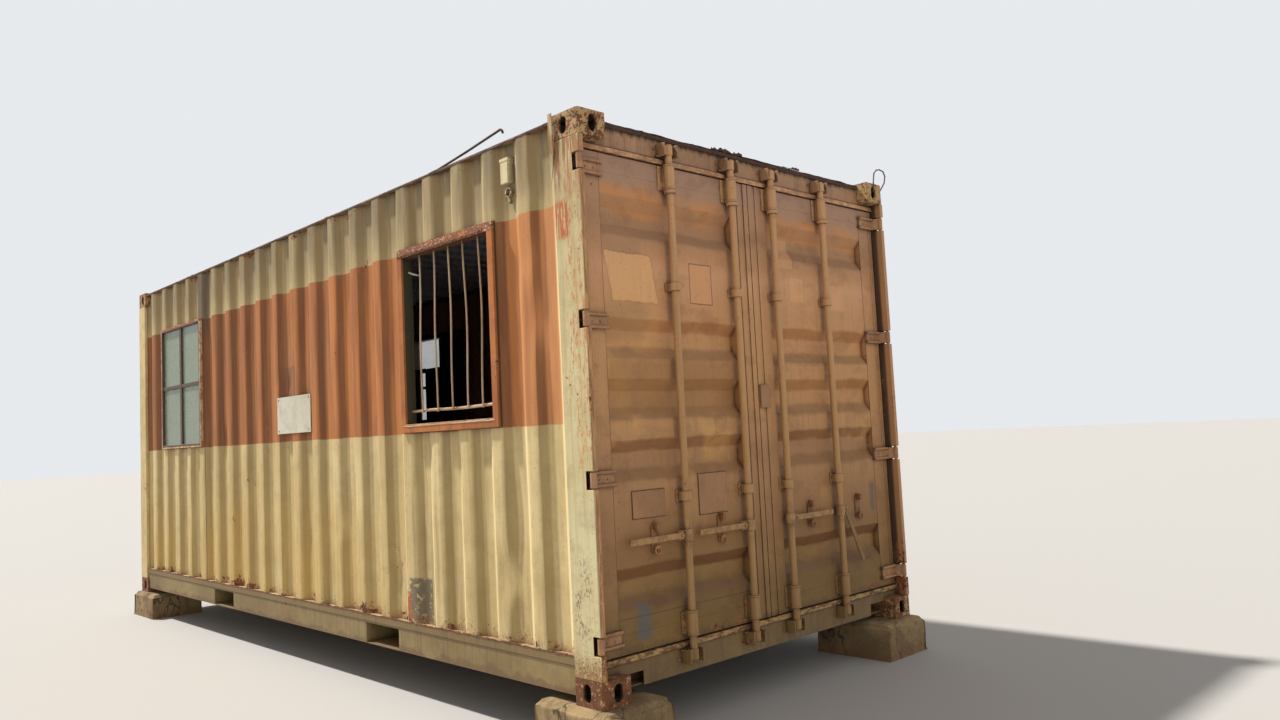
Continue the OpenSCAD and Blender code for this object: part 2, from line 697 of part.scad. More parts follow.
module lock_rod_1() color(steel) left() translate([0, rod_out, 0]) lock_rod();

module lock_rod_2() color(steel) left() translate([0, rod_in, 0]) lock_rod();

module lock_rod_3() color(steel) translate([0, rod_in, 0]) lock_rod();

module lock_rod_4() color(steel) translate([0, rod_out, 0]) lock_rod();

module handle_1() color(steel) left() handle_at(rod_out, 0);

module handle_2() color(steel) left() handle_at(rod_in, 0);

module handle_3() color(steel) handle_at(rod_in, 0);

module handle_4() color(steel) handle_at(rod_out, -loose_angle);

concrete_blocks();
corner_castings();
door_end_posts();
front_end_posts();
door_header();
door_sill();
front_rails();
top_side_rails();
bottom_side_rails();
fork_pockets();
cross_members();
floor();
window_side_wall();
rear_side_wall();
front_wall();
roof_sheet();
barred_window_frames();
glazed_window_frames();
window_glass();
sign_board();
switch_box();
roof_rod();
wire_loop();
cam_keepers();
left_door_frame();
left_door_panel();
left_door_gasket();
left_hinge_blades();
left_rod_bearings();
left_handle_catches();
left_door_plates();
right_door_frame();
right_door_panel();
right_door_gasket();
right_hinge_blades();
right_rod_bearings();
right_handle_catches();
right_door_plate();
lock_rod_1();
lock_rod_2();
lock_rod_3();
lock_rod_4();
handle_1();
handle_2();
handle_3();
handle_4();
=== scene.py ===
import bpy, bmesh, math, random
from mathutils import Matrix, Vector, noise


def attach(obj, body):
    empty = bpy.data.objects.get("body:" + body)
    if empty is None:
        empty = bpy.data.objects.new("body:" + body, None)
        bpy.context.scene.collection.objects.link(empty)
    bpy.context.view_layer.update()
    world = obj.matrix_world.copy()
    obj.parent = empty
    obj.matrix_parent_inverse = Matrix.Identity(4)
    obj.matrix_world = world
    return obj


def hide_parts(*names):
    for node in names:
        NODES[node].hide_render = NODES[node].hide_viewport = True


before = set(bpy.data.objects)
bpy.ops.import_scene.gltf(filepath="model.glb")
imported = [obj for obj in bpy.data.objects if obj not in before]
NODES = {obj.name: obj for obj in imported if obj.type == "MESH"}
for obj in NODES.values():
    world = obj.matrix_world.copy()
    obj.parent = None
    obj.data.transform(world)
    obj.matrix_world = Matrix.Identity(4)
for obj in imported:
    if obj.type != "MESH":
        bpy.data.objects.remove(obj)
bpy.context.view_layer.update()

# camera
scene = bpy.context.scene
cam_data = bpy.data.cameras.new("photo_camera")
cam = bpy.data.objects.new("photo_camera", cam_data)
scene.collection.objects.link(cam)
FOCAL_PX, IMAGE_W, SENSOR = 955.1, 1280, 36.0
cam_data.sensor_width = SENSOR
cam_data.lens = FOCAL_PX * SENSOR / IMAGE_W
cam_data.clip_start, cam_data.clip_end = 0.05, 400
CAMERA_AT = (6.1153, -3.8934, 1.3504)
AZ, PITCH, ROLL = math.radians(45.96), math.radians(4.38), math.radians(-2.84)
forward = Vector((-math.sin(AZ) * math.cos(PITCH), math.cos(AZ) * math.cos(PITCH), math.sin(PITCH)))
level_right = Vector((math.cos(AZ), math.sin(AZ), 0))
level_up = level_right.cross(forward)
right = level_right * math.cos(ROLL) + level_up * math.sin(ROLL)
up = right.cross(forward)
rot = Matrix((right, up, -forward)).transposed()
cam.matrix_world = Matrix.Translation(CAMERA_AT) @ rot.to_4x4()
scene.camera = cam

# stage and light
scene.view_settings.view_transform = "Standard"
world = bpy.data.worlds.new("studio")
scene.world = world
world.use_nodes = True
wt = world.node_tree
wt.nodes.clear()


def world_node(kind, *sources):
    """a node of the world whose first inputs are linked to these outputs"""
    n = wt.nodes.new("ShaderNode" + kind)
    for k, s in enumerate(sources):
        wt.links.new(s, n.inputs[k])
    return n


def background(colour, strength):
    n = world_node("Background")
    n.inputs["Color"].default_value, n.inputs["Strength"].default_value = (*colour, 1), strength
    return n.outputs[0]


def either(a, b):
    n = world_node("Math", a, b)
    n.operation = "MAXIMUM"
    return n.outputs[0]


ray = world_node("LightPath").outputs
seen = either(either(ray["Is Camera Ray"], ray["Is Glossy Ray"]), ray["Is Transmission Ray"])
sky = world_node("MixShader", seen, background((1.0, 0.98, 0.95), 0.44), background((0.8, 0.82, 0.85), 1.0))
world_node("OutputWorld", sky.outputs[0])


def lamp(name, kind, energy, direction, **more):
    """a lamp that shines along direction"""
    data = bpy.data.lights.new(name, kind)
    data.energy = energy
    for k, v in more.items():
        setattr(data, k, v)
    o = bpy.data.objects.new(name, data)
    scene.collection.objects.link(o)
    o.rotation_mode = "QUATERNION"
    o.rotation_quaternion = Vector(direction).to_track_quat("-Z", "Y")


lamp("key", "SUN", 4.8, (0.6, 0.28, -1.0), angle=math.radians(3), color=(1.0, 0.96, 0.89))
lamp("fill", "SUN", 0.42, (-0.75, 0.3, -0.25), angle=math.radians(60), color=(1.0, 0.96, 0.91))


# material graphs
def lin(v):
    """an 8-bit screen value as linear light"""
    return v / 255 / 12.92 if v <= 10 else ((v / 255 + 0.055) / 1.055) ** 2.4


def srgb(*c):
    """8-bit screen colour as linear rgba"""
    return tuple([lin(v) for v in c] + [1.0])


DOOR_LIGHT = 0.63  # how bright white looks in the shade of the door end


def shade(*c):
    """the paint that shows this 8-bit screen colour in the shade of the door end"""
    return tuple([min(lin(v) / DOOR_LIGHT, 0.9) for v in c] + [1.0])


class Graph:
    """a material graph in object coordinates, which are the frame's metres; col is its colour so far"""

    def __init__(self, name):
        self.mat = bpy.data.materials.new(name)
        self.mat.use_nodes = True
        self.tree = self.mat.node_tree
        self.tree.nodes.clear()
        self.bsdf = self.node("BsdfPrincipled")
        self.node("OutputMaterial", self.bsdf.outputs[0])
        coord = self.node("TexCoord")
        self.pos = coord.outputs["Object"]
        self.geo = self.node("NewGeometry")
        self.x, self.y, self.z = self.parts(self.pos)
        self.nx, self.ny, self.nz = self.parts(coord.outputs["Normal"])

    def node(self, kind, *values, **named):
        """a new node; values go into its first inputs, named ones into the inputs called so"""
        n = self.tree.nodes.new("ShaderNode" + kind)
        for socket, value in [*zip(n.inputs, values), *[(n.inputs[k], v) for k, v in named.items()]]:
            self.put(value, socket)
        return n

    def parts(self, vector):
        return self.node("SeparateXYZ", vector).outputs

    def put(self, value, socket):
        """links a socket, or sets a value; three numbers for a colour are an 8-bit screen colour"""
        if isinstance(value, bpy.types.NodeSocket):
            self.tree.links.new(value, socket)
        else:
            socket.default_value = srgb(*value) if socket.type == "RGBA" and len(value) == 3 else value

    def math(self, op, *values):
        n = self.node("Math", *values)
        n.operation = op
        return n.outputs[0]

    def abs(self, a):
        return self.math("ABSOLUTE", a)

    def add(self, a, b):
        return self.math("ADD", a, b)

    def sub(self, a, b):
        return self.math("SUBTRACT", a, b)

    def most(self, a, b):
        return self.math("MAXIMUM", a, b)

    def inv(self, a):
        return self.math("SUBTRACT", 1.0, a)

    def mul(self, a, *more):
        for b in more:
            a = self.math("MULTIPLY", a, b)
        return a

    def step(self, v, lo, hi, kind="SMOOTHSTEP"):
        """0 below lo, 1 above hi, or the reverse where lo is the larger"""
        n = self.node("MapRange", v, min(lo, hi), max(lo, hi), *((0, 1) if lo < hi else (1, 0)))
        n.interpolation_type = kind
        return n.outputs["Result"]

    def between(self, v, lo, hi, soft):
        """1 between lo and hi, with soft ends"""
        return self.mul(self.step(v, lo - soft, lo + soft), self.step(v, hi + soft, hi - soft))

    def mix(self, f, a, b, mode="MIX", data="RGBA", first=6, result=2):
        n = self.node("Mix", f)
        n.data_type, n.blend_type = data, mode
        self.put(a, n.inputs[first])
        self.put(b, n.inputs[first + 1])
        return n.outputs[result]

    def lay(self, under, colour, *masks):
        """a colour over another where all the masks are 1"""
        return self.mix(self.mul(*masks), under, colour)

    def over(self, colour, *masks):
        """lays a colour over the colour so far"""
        self.col = self.lay(self.col, colour, *masks)

    def blend(self, f, a, b):
        """a mix of numbers"""
        return self.mix(f, a, b, "MIX", "FLOAT", 2, 0)

    def vec(self, scale=(1, 1, 1), shift=(0, 0, 0)):
        """the place, stretched and shifted"""
        return self.node("Mapping", Vector=self.pos, Scale=scale, Location=shift).outputs[0]

    def noise(self, scale, detail=4.0, rough=0.55, stretch=(1, 1, 1), seed=0.0):
        at = self.vec(stretch, (seed, seed * 1.7, seed * 0.6))
        return self.node("TexNoise", Vector=at, Scale=scale, Detail=detail, Roughness=rough).outputs["Fac"]

    def spots(self, lo, hi, scale, detail=4, rough=0.7, stretch=(1, 1, 1), seed=0.0):
        """noise cut off between two levels"""
        return self.step(self.noise(scale, detail, rough, stretch, seed), lo, hi)

    def streaks(self, lo, hi, stretch, seed, detail=4, rough=0.7):
        """spots drawn out along the axes whose number is small"""
        return self.spots(lo, hi, 1.0, detail, rough, stretch, seed)

    def shake(self, size, *args, **more):
        """noise about 0"""
        return self.mul(self.sub(self.noise(*args, **more), 0.5), size)

    def cells(self, scale):
        return self.node("TexVoronoi", Vector=self.vec(), Scale=scale).outputs["Distance"]

    def rounded(self, radius):
        b = self.node("Bevel", Radius=radius)
        b.samples = 4
        return b.outputs[0]

    def edge(self, radius):
        """1 on the edges of this piece"""
        d = self.node("VectorMath", self.rounded(radius), self.geo.outputs["Normal"])
        d.operation = "DOT_PRODUCT"
        return self.step(d.outputs["Value"], 0.985, 0.8)

    def crevice(self, distance):
        """1 deep in corners and right beside other pieces; it marks dirt and painted shade there"""
        n = self.node("AmbientOcclusion", Distance=distance)
        n.samples = 3
        return self.step(n.outputs["AO"], 0.8, 0.35)

    def ramp(self, v, stops):
        """colour in the shade by value, from (value, screen colour) pairs in rising order"""
        lo, hi = stops[0][0], stops[-1][0]
        n = self.node("ValToRGB", self.step(v, lo, hi, "LINEAR"))
        e = n.color_ramp.elements
        while len(e) < len(stops):
            e.new(0.5)
        for item, (at, c) in zip(e, stops):
            item.position = (at - lo) / (hi - lo)
        for item, (at, c) in zip(e, stops):
            item.color = shade(*c)
        return n.outputs[0]

    def finish(self, colour, rough, height=None, strength=0.5, distance=0.004, soft=0.0):
        """gives the surface its colour, roughness and bumps"""
        self.put(colour, self.bsdf.inputs["Base Color"])
        self.put(rough, self.bsdf.inputs["Roughness"])
        if height is not None:
            b = self.node("Bump", Strength=strength, Distance=distance, Height=height)
            if soft:
                self.put(self.rounded(soft), b.inputs["Normal"])
            self.put(b.outputs[0], self.bsdf.inputs["Normal"])
        return self.mat


TOWARDS, AWAY = (0.5, 0.8), (-0.2, -0.5)  # how far a face's normal leans along an axis
RUST_DARK, RUST, RUST_LIGHT = (70, 44, 32), (126, 74, 44), (178, 108, 64)


def rust_colour(g, seed=0.0, size=1.0):
    """the mottled colour of rusted steel"""
    a = g.mix(g.spots(0.38, 0.62, 9 * size, 4, 0.65, seed=seed), RUST, RUST_DARK)
    return g.mix(g.spots(0.5, 0.72, 34 * size, 3, seed=seed + 3), a, RUST_LIGHT)


def weathered(name, base, faded, rust=0.4, streaks=0.4, edges=0.5, dirt=(96, 80, 58), regions=None,
              rough=0.62, seed=0.0, edge_r=0.006, dents=0.5, extra_rust=None, soft=0.0, stain=(164, 108, 66),
              fine_dirt=0.35, crevices=0.75, specks=0.0, reach=0.05):
    """old paint on steel: faded patches, rain streaks, rust chips with stains, worn edges, small dents;
    regions(g) paints what lies at a place, extra_rust(g) gives more rust there"""
    g = Graph(name)
    g.col = g.mix(g.spots(0.38, 0.64, 1.3, 4, 0.6, seed=seed), base, faded)
    g.over(dirt, g.spots(0.42, 0.72, 11, seed=seed + 5), fine_dirt)
    if regions:
        regions(g)
    g.over(dirt, g.streaks(0.5, 0.66, (150, 150, 3.5), seed + 4, 3), 0.5 * streaks)
    runs = g.streaks(0.48, 0.68, (30, 30, 1.1), seed + 1, 4, 0.65)
    g.over(dirt, runs, g.spots(0.35, 0.62, 0.9, 2, 0.5, seed=seed + 2), streaks)
    big, fine = g.noise(3.4, 4, 0.62, seed=seed + 7), g.noise(42, 4, 0.7, seed=seed + 8)
    amount = g.add(g.mul(big, 0.6), g.mul(fine, 0.4))
    if edges:
        amount = g.add(amount, g.mul(g.edge(edge_r), 0.12 * edges))
    more = extra_rust(g) if extra_rust else 0.0
    amount = g.add(amount, more)
    least = 0.7 - 0.08 * specks
    speck = g.step(g.add(g.noise(105, 3, 0.65, seed=seed + 6), g.mul(more, 0.8)), least, least + 0.025)
    g.over((86, 60, 42), speck, 0.75 if specks else 0.0)
    # dirt and painted shade in corners and beside other pieces
    if crevices:
        g.over((58, 42, 30), g.crevice(reach), g.spots(0.25, 0.5, 20, 3, 0.6, seed=seed + 10), crevices)
    least = 0.69 - 0.16 * rust
    chip = g.step(amount, least, least + 0.012)
    g.over(stain, g.step(amount, least - 0.06, least + 0.02), 0.6)
    g.over(rust_colour(g, seed), chip)
    height = g.add(g.mul(chip, -0.35), g.mul(g.noise(3.2, 3, 0.5, seed=seed + 11), dents * 4.0))
    return g.finish(g.col, g.blend(chip, rough, 0.92), height, 0.5, 0.004, soft)


def rust_metal(name, paint, left, seed, size=1.0, dark=0.0, tint=None, more_paint=None, regions=None):
    """steel that is mostly rust, with scabs of old paint left on it; a larger size makes finer spots"""
    g = Graph(name)
    g.col = rust_colour(g, seed, size)
    if tint:
        g.over(tint[1], tint[0])
    height = g.add(g.mul(g.noise(90, 3, 0.7, seed=seed), 0.5), g.mul(g.noise(16, 4, 0.6, seed=seed + 2), 0.9))
    s = g.add(g.mul(g.noise(11 * size, 4, 0.65, seed=seed + 4), 0.6),
              g.mul(g.noise(70 * size ** 0.5, 3, 0.7, seed=seed + 6), 0.4))
    s = g.sub(s, g.mul(g.edge(0.008), 0.07))
    if more_paint:
        s = g.add(s, more_paint(g))
    keep = g.mul(g.step(s, 0.6 - 0.2 * left, 0.66 - 0.2 * left), 0.85)
    g.over(g.mix(g.noise(6, 3, seed=seed + 9), paint, tuple(v * 0.8 for v in paint)), keep)
    height = g.add(height, g.mul(keep, 0.5))
    if dark:
        g.over((46, 36, 32), dark)
    if regions:
        regions(g)
    return g.finish(g.col, 0.88, height, 0.5, 0.003)


def room_paint(g):
    """the colour of the inside of walls and front end"""
    return g.mix(g.noise(3, 4), (168, 128, 96), (136, 100, 74))


Z0 = 0.2  # the cabin's underside, on its blocks
BAND_LO, BAND_HI, SEAM_X = Z0 + 1.208, Z0 + 2.2, -1.505
BAND_END = 2.812, 2.806
INNER_FACE_Y = 1.188, 1.181  # the corrugation's inner faces lie nearer to the middle
PATCH_Z = Z0 + 0.215
CREAM, CREAM_OLD = (216, 194, 142), (202, 178, 124)
BAND, BAND_OLD = (192, 120, 60), (162, 96, 46)


def wall_regions(g):
    """the brown band with a darker place, the sheet seam, dirt, two patches of other paint, the inside, and
    painted shade, highlight and reflection
    """
    wobble = g.shake(0.016, 6, 3, seed=4)
    level, across = g.add(g.z, wobble), g.add(g.x, wobble)
    front = g.step(g.y, -1.1, -1.15)
    # dark streaks high on the wall: dirt, and painted shade under the roof edge
    top = g.mul(g.step(g.z, 2.36, 2.74), g.streaks(0.36, 0.6, (17, 17, 1.5), 14))
    g.over((144, 125, 92), g.step(g.z, 2.2, 2.6), 0.68)
    g.over((104, 92, 72), top, 0.62)
    low = g.mul(g.step(g.z, 1.05, 0.42), g.streaks(0.34, 0.62, (14, 14, 3), 9, 4, 0.6))
    g.over((150, 124, 76), low, 0.3)
    band = g.mul(g.between(level, BAND_LO, BAND_HI, 0.003), g.step(across, *BAND_END))
    brown = g.mix(g.spots(0.38, 0.62, 2.2, 4, 0.6, stretch=(7, 7, 0.6), seed=2), BAND, BAND_OLD)
    brown = g.lay(brown, (108, 62, 30), g.step(g.x, 0.9, -2.6), 0.5)
    # painted shade on the slopes turned away from the light, weakly also on the recessed faces; painted
    # highlight on the slopes turned to it
    shaded, painted_highlight = g.step(g.nx, 0.3, 0.5), g.step(g.nx, -0.3, -0.5)
    recess = g.mul(g.step(g.abs(g.y), *INNER_FACE_Y), 0.12)
    painted_shade = g.mul(g.most(recess, shaded), g.blend(g.streaks(0.25, 0.6, (5, 5, 0.8), 27, 3, 0.6), 0.65, 1.0))
    brown = g.lay(brown, (94, 50, 16), painted_shade, 0.76)
    brown = g.lay(brown, (222, 158, 98), painted_highlight, 0.55)
    # the band lighter towards the near end, outside the painted shade
    brown = g.lay(brown, (228, 166, 112), g.mul(g.step(g.x, 2.4, 2.75), g.inv(painted_shade)), 0.4)
    # the same painted shade and painted highlight on the cream
    g.over(g.mix(g.step(g.z, 0.7, 1.5), (134, 104, 38), (132, 106, 60)), painted_shade, 0.64)
    g.over(g.mix(g.step(g.z, 2.1, 2.4), (250, 232, 178), (206, 184, 140)), painted_highlight, 0.6)
    # painted reflection: a streaky warm yellow tint low on the far part of the wall
    warm = g.mul(g.step(g.z, 1.3, 0.6), g.step(g.x, 1.6, 0.2), g.streaks(0.3, 0.6, (3, 3, 0.8), 28, 3, 0.6))
    g.over((208, 168, 70), warm, 0.4)
    dark = g.mul(g.between(g.x, -0.13, 0.13, 0.01), g.between(level, 1.7, 1.9, 0.008), front)
    brown = g.lay(brown, (120, 66, 38), dark, 0.55)
    g.over(brown, band)
    seam = g.between(g.x, SEAM_X - 0.003, SEAM_X + 0.003, 0.002)
    stain = g.mul(g.between(g.x, SEAM_X - 0.1, SEAM_X + 0.05, 0.03), g.step(g.z, 2.15, 2.45))
    g.over((62, 48, 36), g.most(g.mul(stain, 0.9), seam), 0.85)
    navy = g.mul(g.between(across, 1.488, 1.66, 0.006), g.between(level, PATCH_Z, Z0 + 0.44, 0.01), front)
    g.over((74, 70, 66), navy, g.spots(0.36, 0.46, 26, seed=41), 0.85)
    red = g.mul(g.between(across, 1.428, 1.5, 0.005), g.between(level, PATCH_Z, Z0 + 0.366, 0.008), front)
    g.over((164, 84, 44), red, g.spots(0.36, 0.44, 30, seed=42))
    g.over(room_paint(g), g.step(g.mul(g.ny, g.y), 0.0, -0.02))


def wall_rust(g):
    """little rust spots at the foot of the wall and below the roof edge"""
    foot = g.mul(g.step(g.z, 0.52, 0.41), g.noise(20, 3, 0.7, seed=13), 0.26)
    return g.add(foot, g.mul(g.step(g.z, 2.66, 2.76), 0.1))


def rail_regions(g):
    """dirty top rails: dark streaks with remains of cream"""
    g.over((96, 78, 60), g.streaks(0.4, 0.56, (9, 9, 20), 15))


def front_regions(g):
    """the front end's inner face has the colour of the room"""
    g.over(room_paint(g), g.step(g.nx, 0.3, 0.5), g.step(g.x, -2.82, -2.86), g.step(g.abs(g.y), 1.2, 1.196))


HOLLOW_X, HOLLOW_Y, HOLLOW_Z = (2.858, 3.021), (1.063, 1.212), ((0.207, 0.311), (2.68, 2.784))


def casting_regions(g):
    """painted shade: the hollow behind the oval holes is painted nearly black"""
    across = [g.between(g.abs(v), *ends, 0.004) for v, ends in ((g.x, HOLLOW_X), (g.y, HOLLOW_Y))]
    g.over((26, 18, 14), *across, g.most(*[g.between(g.z, *ends, 0.004) for ends in HOLLOW_Z]), 0.88)


POST_FRONT_X = 3.0286, 3.0289


def post_regions(g):
    """cream long-side face with brushed rust, stained inner edge of the lip, door-coloured inner faces,
    painted shade deep in the far post
    """
    def scribble(n, seed, lo, hi):
        return g.streaks(lo, hi, (n, n, n * 0.09), seed, 4, 0.72)

    g.over((214, 186, 128), g.streaks(0.42, 0.62, (22, 22, 1.2), 17), 0.3)
    side = g.step(g.abs(g.ny), 0.7, 0.9)
    blot = g.mul(g.between(g.z, 2.225, 2.395, 0.02), g.between(g.x, 2.845, 2.945, 0.012))
    g.over((192, 88, 34), blot, scribble(95, 5, 0.42, 0.47), side)
    crown = g.mul(g.step(g.z, 2.36, 2.52), scribble(52, 6, 0.42, 0.5))
    g.over(g.mix(scribble(44, 26, 0.42, 0.54), (100, 72, 46), (182, 94, 44)), crown, 0.85)
    flecks = g.streaks(0.5, 0.56, (110, 110, 55), 9, 4, 0.75)
    middle = g.mul(g.between(g.z, 0.5, 0.8, 0.1), g.between(g.x, 2.87, 2.985, 0.03),
                   g.spots(0.4, 0.5, 11, 3, 0.6, seed=20))
    g.over((86, 64, 42), g.mul(flecks, g.most(middle, g.step(g.z, 0.43, 0.34))), 0.9)
    g.over((152, 106, 62), g.step(g.z, 0.46, 0.34), scribble(55, 10, 0.32, 0.56), 0.75)
    chips = g.streaks(0.545, 0.585, (75, 75, 20), 23, 4, 0.75)
    edge = g.step(g.add(g.x, g.mul(g.noise(5, 3, seed=24), 0.16)), 2.975, 3.03)
    g.over((196, 118, 66), chips, g.between(g.z, 1.2, 2.62, 0.15), edge, 0.85)
    g.over((150, 122, 82), g.step(g.z, 1.9, 2.6), g.streaks(0.3, 0.62, (34, 34, 3), 25), 0.45)
    stain = g.mul(g.between(g.z, 1.45, 2.2, 0.1), g.step(g.x, 2.955, 2.985), scribble(50, 7, 0.46, 0.6))
    g.over((190, 132, 82), stain, 0.7)
    g.over((164, 140, 92), g.step(g.z, 0.95, 0.4), scribble(40, 8, 0.4, 0.62), 0.25)
    a = g.abs(g.y)
    front = g.step(g.x, *POST_FRONT_X)
    lip = g.mul(front, g.step(g.add(a, g.mul(g.noise(20, 3, seed=18), 0.014)), 1.203, 1.197))
    g.over(g.mix(scribble(70, 11, 0.38, 0.6), shade(164, 122, 80), shade(110, 74, 46)), front, 0.92)
    g.over(shade(152, 104, 64), lip, 0.9)
    inner = g.mul(g.step(a, 1.2175, 1.2165), g.inv(front))
    g.over(g.mix(g.noise(5, 4, seed=19), shade(152, 110, 76), shade(128, 94, 66)), inner)
    # the far post's front and inner faces in the door colour, painted near black further in as painted shade
    far = g.step(g.y, 1.0, 1.1)
    deep = g.mix(g.step(g.x, 2.985, 3.005), shade(62, 44, 32), shade(150, 112, 78))
    g.over(deep, far, g.most(front, inner))


def post_rust(g):
    """specks at the foot and chips along the corner edge"""
    runs = g.streaks(0.46, 0.62, (60, 60, 4.5), 6)
    corner = g.mul(g.step(g.x, 2.96, 3.02), runs, 0.1)
    return g.add(corner, g.mul(g.step(g.z, 0.5, 0.36), 0.12))


DOOR_MID = 1.5075  # heights of the five recesses, and the doors' screen colours by height
RECESSES = [DOOR_MID + d for d in (-0.845, -0.278, 0.0, 0.278, 0.845)]
DOOR_TONES = (
    (0.4, (102, 80, 38)), (0.58, (98, 75, 37)), (0.68, (122, 92, 50)), (0.8, (117, 85, 48)),
    (0.95, (130, 96, 60)), (1.1, (142, 106, 70)), (1.24, (139, 102, 69)), (1.36, (156, 116, 76)),
    (1.5, (160, 119, 76)), (1.8, (164, 122, 80)), (1.96, (164, 121, 82)), (2.12, (173, 130, 94)),
    (2.21, (156, 115, 80)), (2.34, (138, 103, 74)), (2.46, (149, 112, 84)), (2.54, (139, 110, 90)),
    (2.64, (135, 106, 88)))
# the slopes over and under each recess: painted shade, the ones over it warmer as a painted reflection of the
# ground
UPPER_SLOPES = ((101, 67, 37), (121, 81, 48), (146, 100, 56), (147, 99, 58), (152, 111, 76))
LOWER_SLOPES = ((97, 70, 43), (119, 88, 56), (128, 95, 63), (131, 97, 65), (125, 94, 68))

# stains, remains of labels and outlines of plates on the doors; the outlines are painted shadow lines:
# y from and to, z from and to, colour, strength, softness, raggedness, outline, lean
LABELS = (
    (-1.045, -0.145, 1.43, 1.69, (126, 90, 54), 0.62, 0.03, 0.05, 0, 0),
    (-1.045, -0.78, 1.78, 1.95, (140, 106, 70), 0.55, 0.03, 0.05, 0, 0),
    (-1.045, -0.8, 2.14, 2.33, (138, 104, 76), 0.55, 0.03, 0.05, 0, 0),
    (-0.934, -0.728, 0.968, 1.089, None, 0, 0.001, 0, 0.95, 0),
    (-0.492, -0.29, 0.948, 1.14, None, 0, 0.001, 0, 0.95, 0),
    (-0.99, -0.7, 1.958, 2.182, (188, 144, 98), 0.75, 0.004, 0.035, 0.25, 0.2),
    (-0.473, -0.32, 1.974, 2.166, (176, 128, 88), 0.8, 0.001, 0.006, 0.75, 0),
    (0.235, 0.365, 2.21, 2.375, (180, 134, 96), 0.5, 0.002, 0.012, 0, 0),
    (0.33, 0.45, 2.03, 2.16, (186, 140, 100), 0.45, 0.002, 0.012, 0, 0),
    (0.7, 0.83, 2.0, 2.145, (186, 140, 100), 0.4, 0.002, 0.012, 0, 0),
    (-0.937, -0.859, 0.423, 0.592, (72, 76, 80), 0.7, 0.018, 0.1, 0, 0),
    (0.98, 1.03, 0.84, 1.0, (72, 72, 74), 0.6, 0.014, 0.06, 0, 0),
)
OUTLINE = 0.005


def door_regions(g):
    """tones down the door, painted shade on the slopes of the five recesses, ghosts of old labels, painted
    shadow lines round plates, a painted crease
    """
    wobble = g.shake(0.06, 2.4, 3, 0.6, stretch=(1, 2, 3), seed=61)
    level = g.add(g.z, wobble)
    a = g.abs(g.y)
    outside = g.step(g.x, 2.9, 2.915)
    field = g.mul(g.between(a, 0.145, 1.045, 0.004), outside)
    g.over(g.ramp(level, DOOR_TONES), g.blend(field, 0.75, 0.92))
    warm = g.mul(g.between(level, 2.37, 2.49, 0.03), field, g.spots(0.36, 0.58, 3.0, 3, 0.6, seed=62))
    g.over(shade(168, 112, 60), warm, 0.75)
    # painted shade on the slopes over and under each recess
    for zc, above, below in zip(RECESSES, UPPER_SLOPES, LOWER_SLOPES):
        g.over(shade(*above), g.between(level, zc + 0.04, zc + 0.094, 0.01), field, 0.85)
        g.over(shade(*below), g.between(level, zc - 0.098, zc - 0.04, 0.016), field, 0.85)
    yellow = g.spots(0.54, 0.68, 2.6, 3, 0.6, seed=66)
    g.over(shade(182, 140, 80), yellow, field, g.between(g.z, 1.0, 1.9, 0.2), 0.45)
    cloud = g.spots(0.48, 0.66, 6.0, 5, 0.65, stretch=(1, 1, 1.5), seed=67)
    g.col = g.mix(g.mul(cloud, 0.55), g.col, (0.7, 0.66, 0.6, 1), "MULTIPLY")
    for y0, y1, z0, z1, colour, strength, soft, rag, outline, lean in LABELS:
        up, along = g.z, g.add(g.y, g.mul(g.sub(g.z, z0), lean))
        if rag:
            n = g.shake(rag, 16, 4, 0.7, seed=y0 * 3)
            up, along = g.add(up, n), g.add(along, n)
        label = g.mul(g.between(along, y0, y1, soft), g.between(up, z0, z1, soft), outside)
        if strength:
            g.over(shade(*colour), label, strength)
        # a painted shadow line round the patch
        if outline:
            y0, y1, z0, z1 = y0 - OUTLINE, y1 + OUTLINE, z0 - OUTLINE, z1 + OUTLINE
            around = g.mul(g.between(along, y0, y1, soft), g.between(up, z0, z1, soft), outside)
            g.over(shade(74, 52, 38), g.inv(label), around, outline)
    muck = g.mul(g.step(g.add(g.z, g.mul(g.noise(9, 4, 0.7, seed=68), 0.1)), 0.475, 0.435), outside)
    g.over(shade(66, 50, 32), muck, 0.45)
    # painted shade of a crease across the left door
    line = g.between(g.add(g.z, g.mul(wobble, 0.1)), 0.534, 0.538, 0.001)
    g.over(shade(58, 42, 30), line, g.between(g.y, -1.04, -0.15, 0.002), field, 0.7)
    g.over(shade(70, 50, 36), g.between(a, 1.0445, 1.0475, 0.001), g.step(g.x, 2.95, 2.955), 0.65)
    g.over(g.mix(g.noise(3, 3), (126, 98, 74), (104, 80, 60)), g.step(g.nx, *AWAY))


GEAR_TONES = (0.3, (126, 98, 60)), (1.0, (148, 114, 72)), (1.6, (160, 122, 80)), (2.6, (167, 127, 90))


def gear_regions(g):
    """rods, bearings and keepers: tan above, yellower and darker below"""
    g.over(g.ramp(g.z, GEAR_TONES), 0.8)
    grime = g.mul(g.between(g.z, 0.8, 0.94, 0.03), g.step(g.x, 2.975, 2.985))
    g.over(shade(66, 50, 32), grime, g.spots(0.46, 0.56, 26, seed=45), 0.38)
    hanging = g.mul(g.between(g.y, 0.642, 0.83, 0.004), g.between(g.z, 0.55, 0.86, 0.01))
    g.over(shade(92, 68, 40), hanging, g.step(g.x, 2.985, 2.99), 0.6)


def keeper_regions(g):
    """the keepers have their beams' colours"""
    g.over(shade(112, 90, 54), g.step(g.z, 1.6, 1.4))


def box_regions(g):
    """rust on the stub of the broken fitting under the box"""
    g.over((136, 100, 66), g.step(g.z, 2.568, 2.56), g.spots(0.44, 0.54, 60, seed=55))


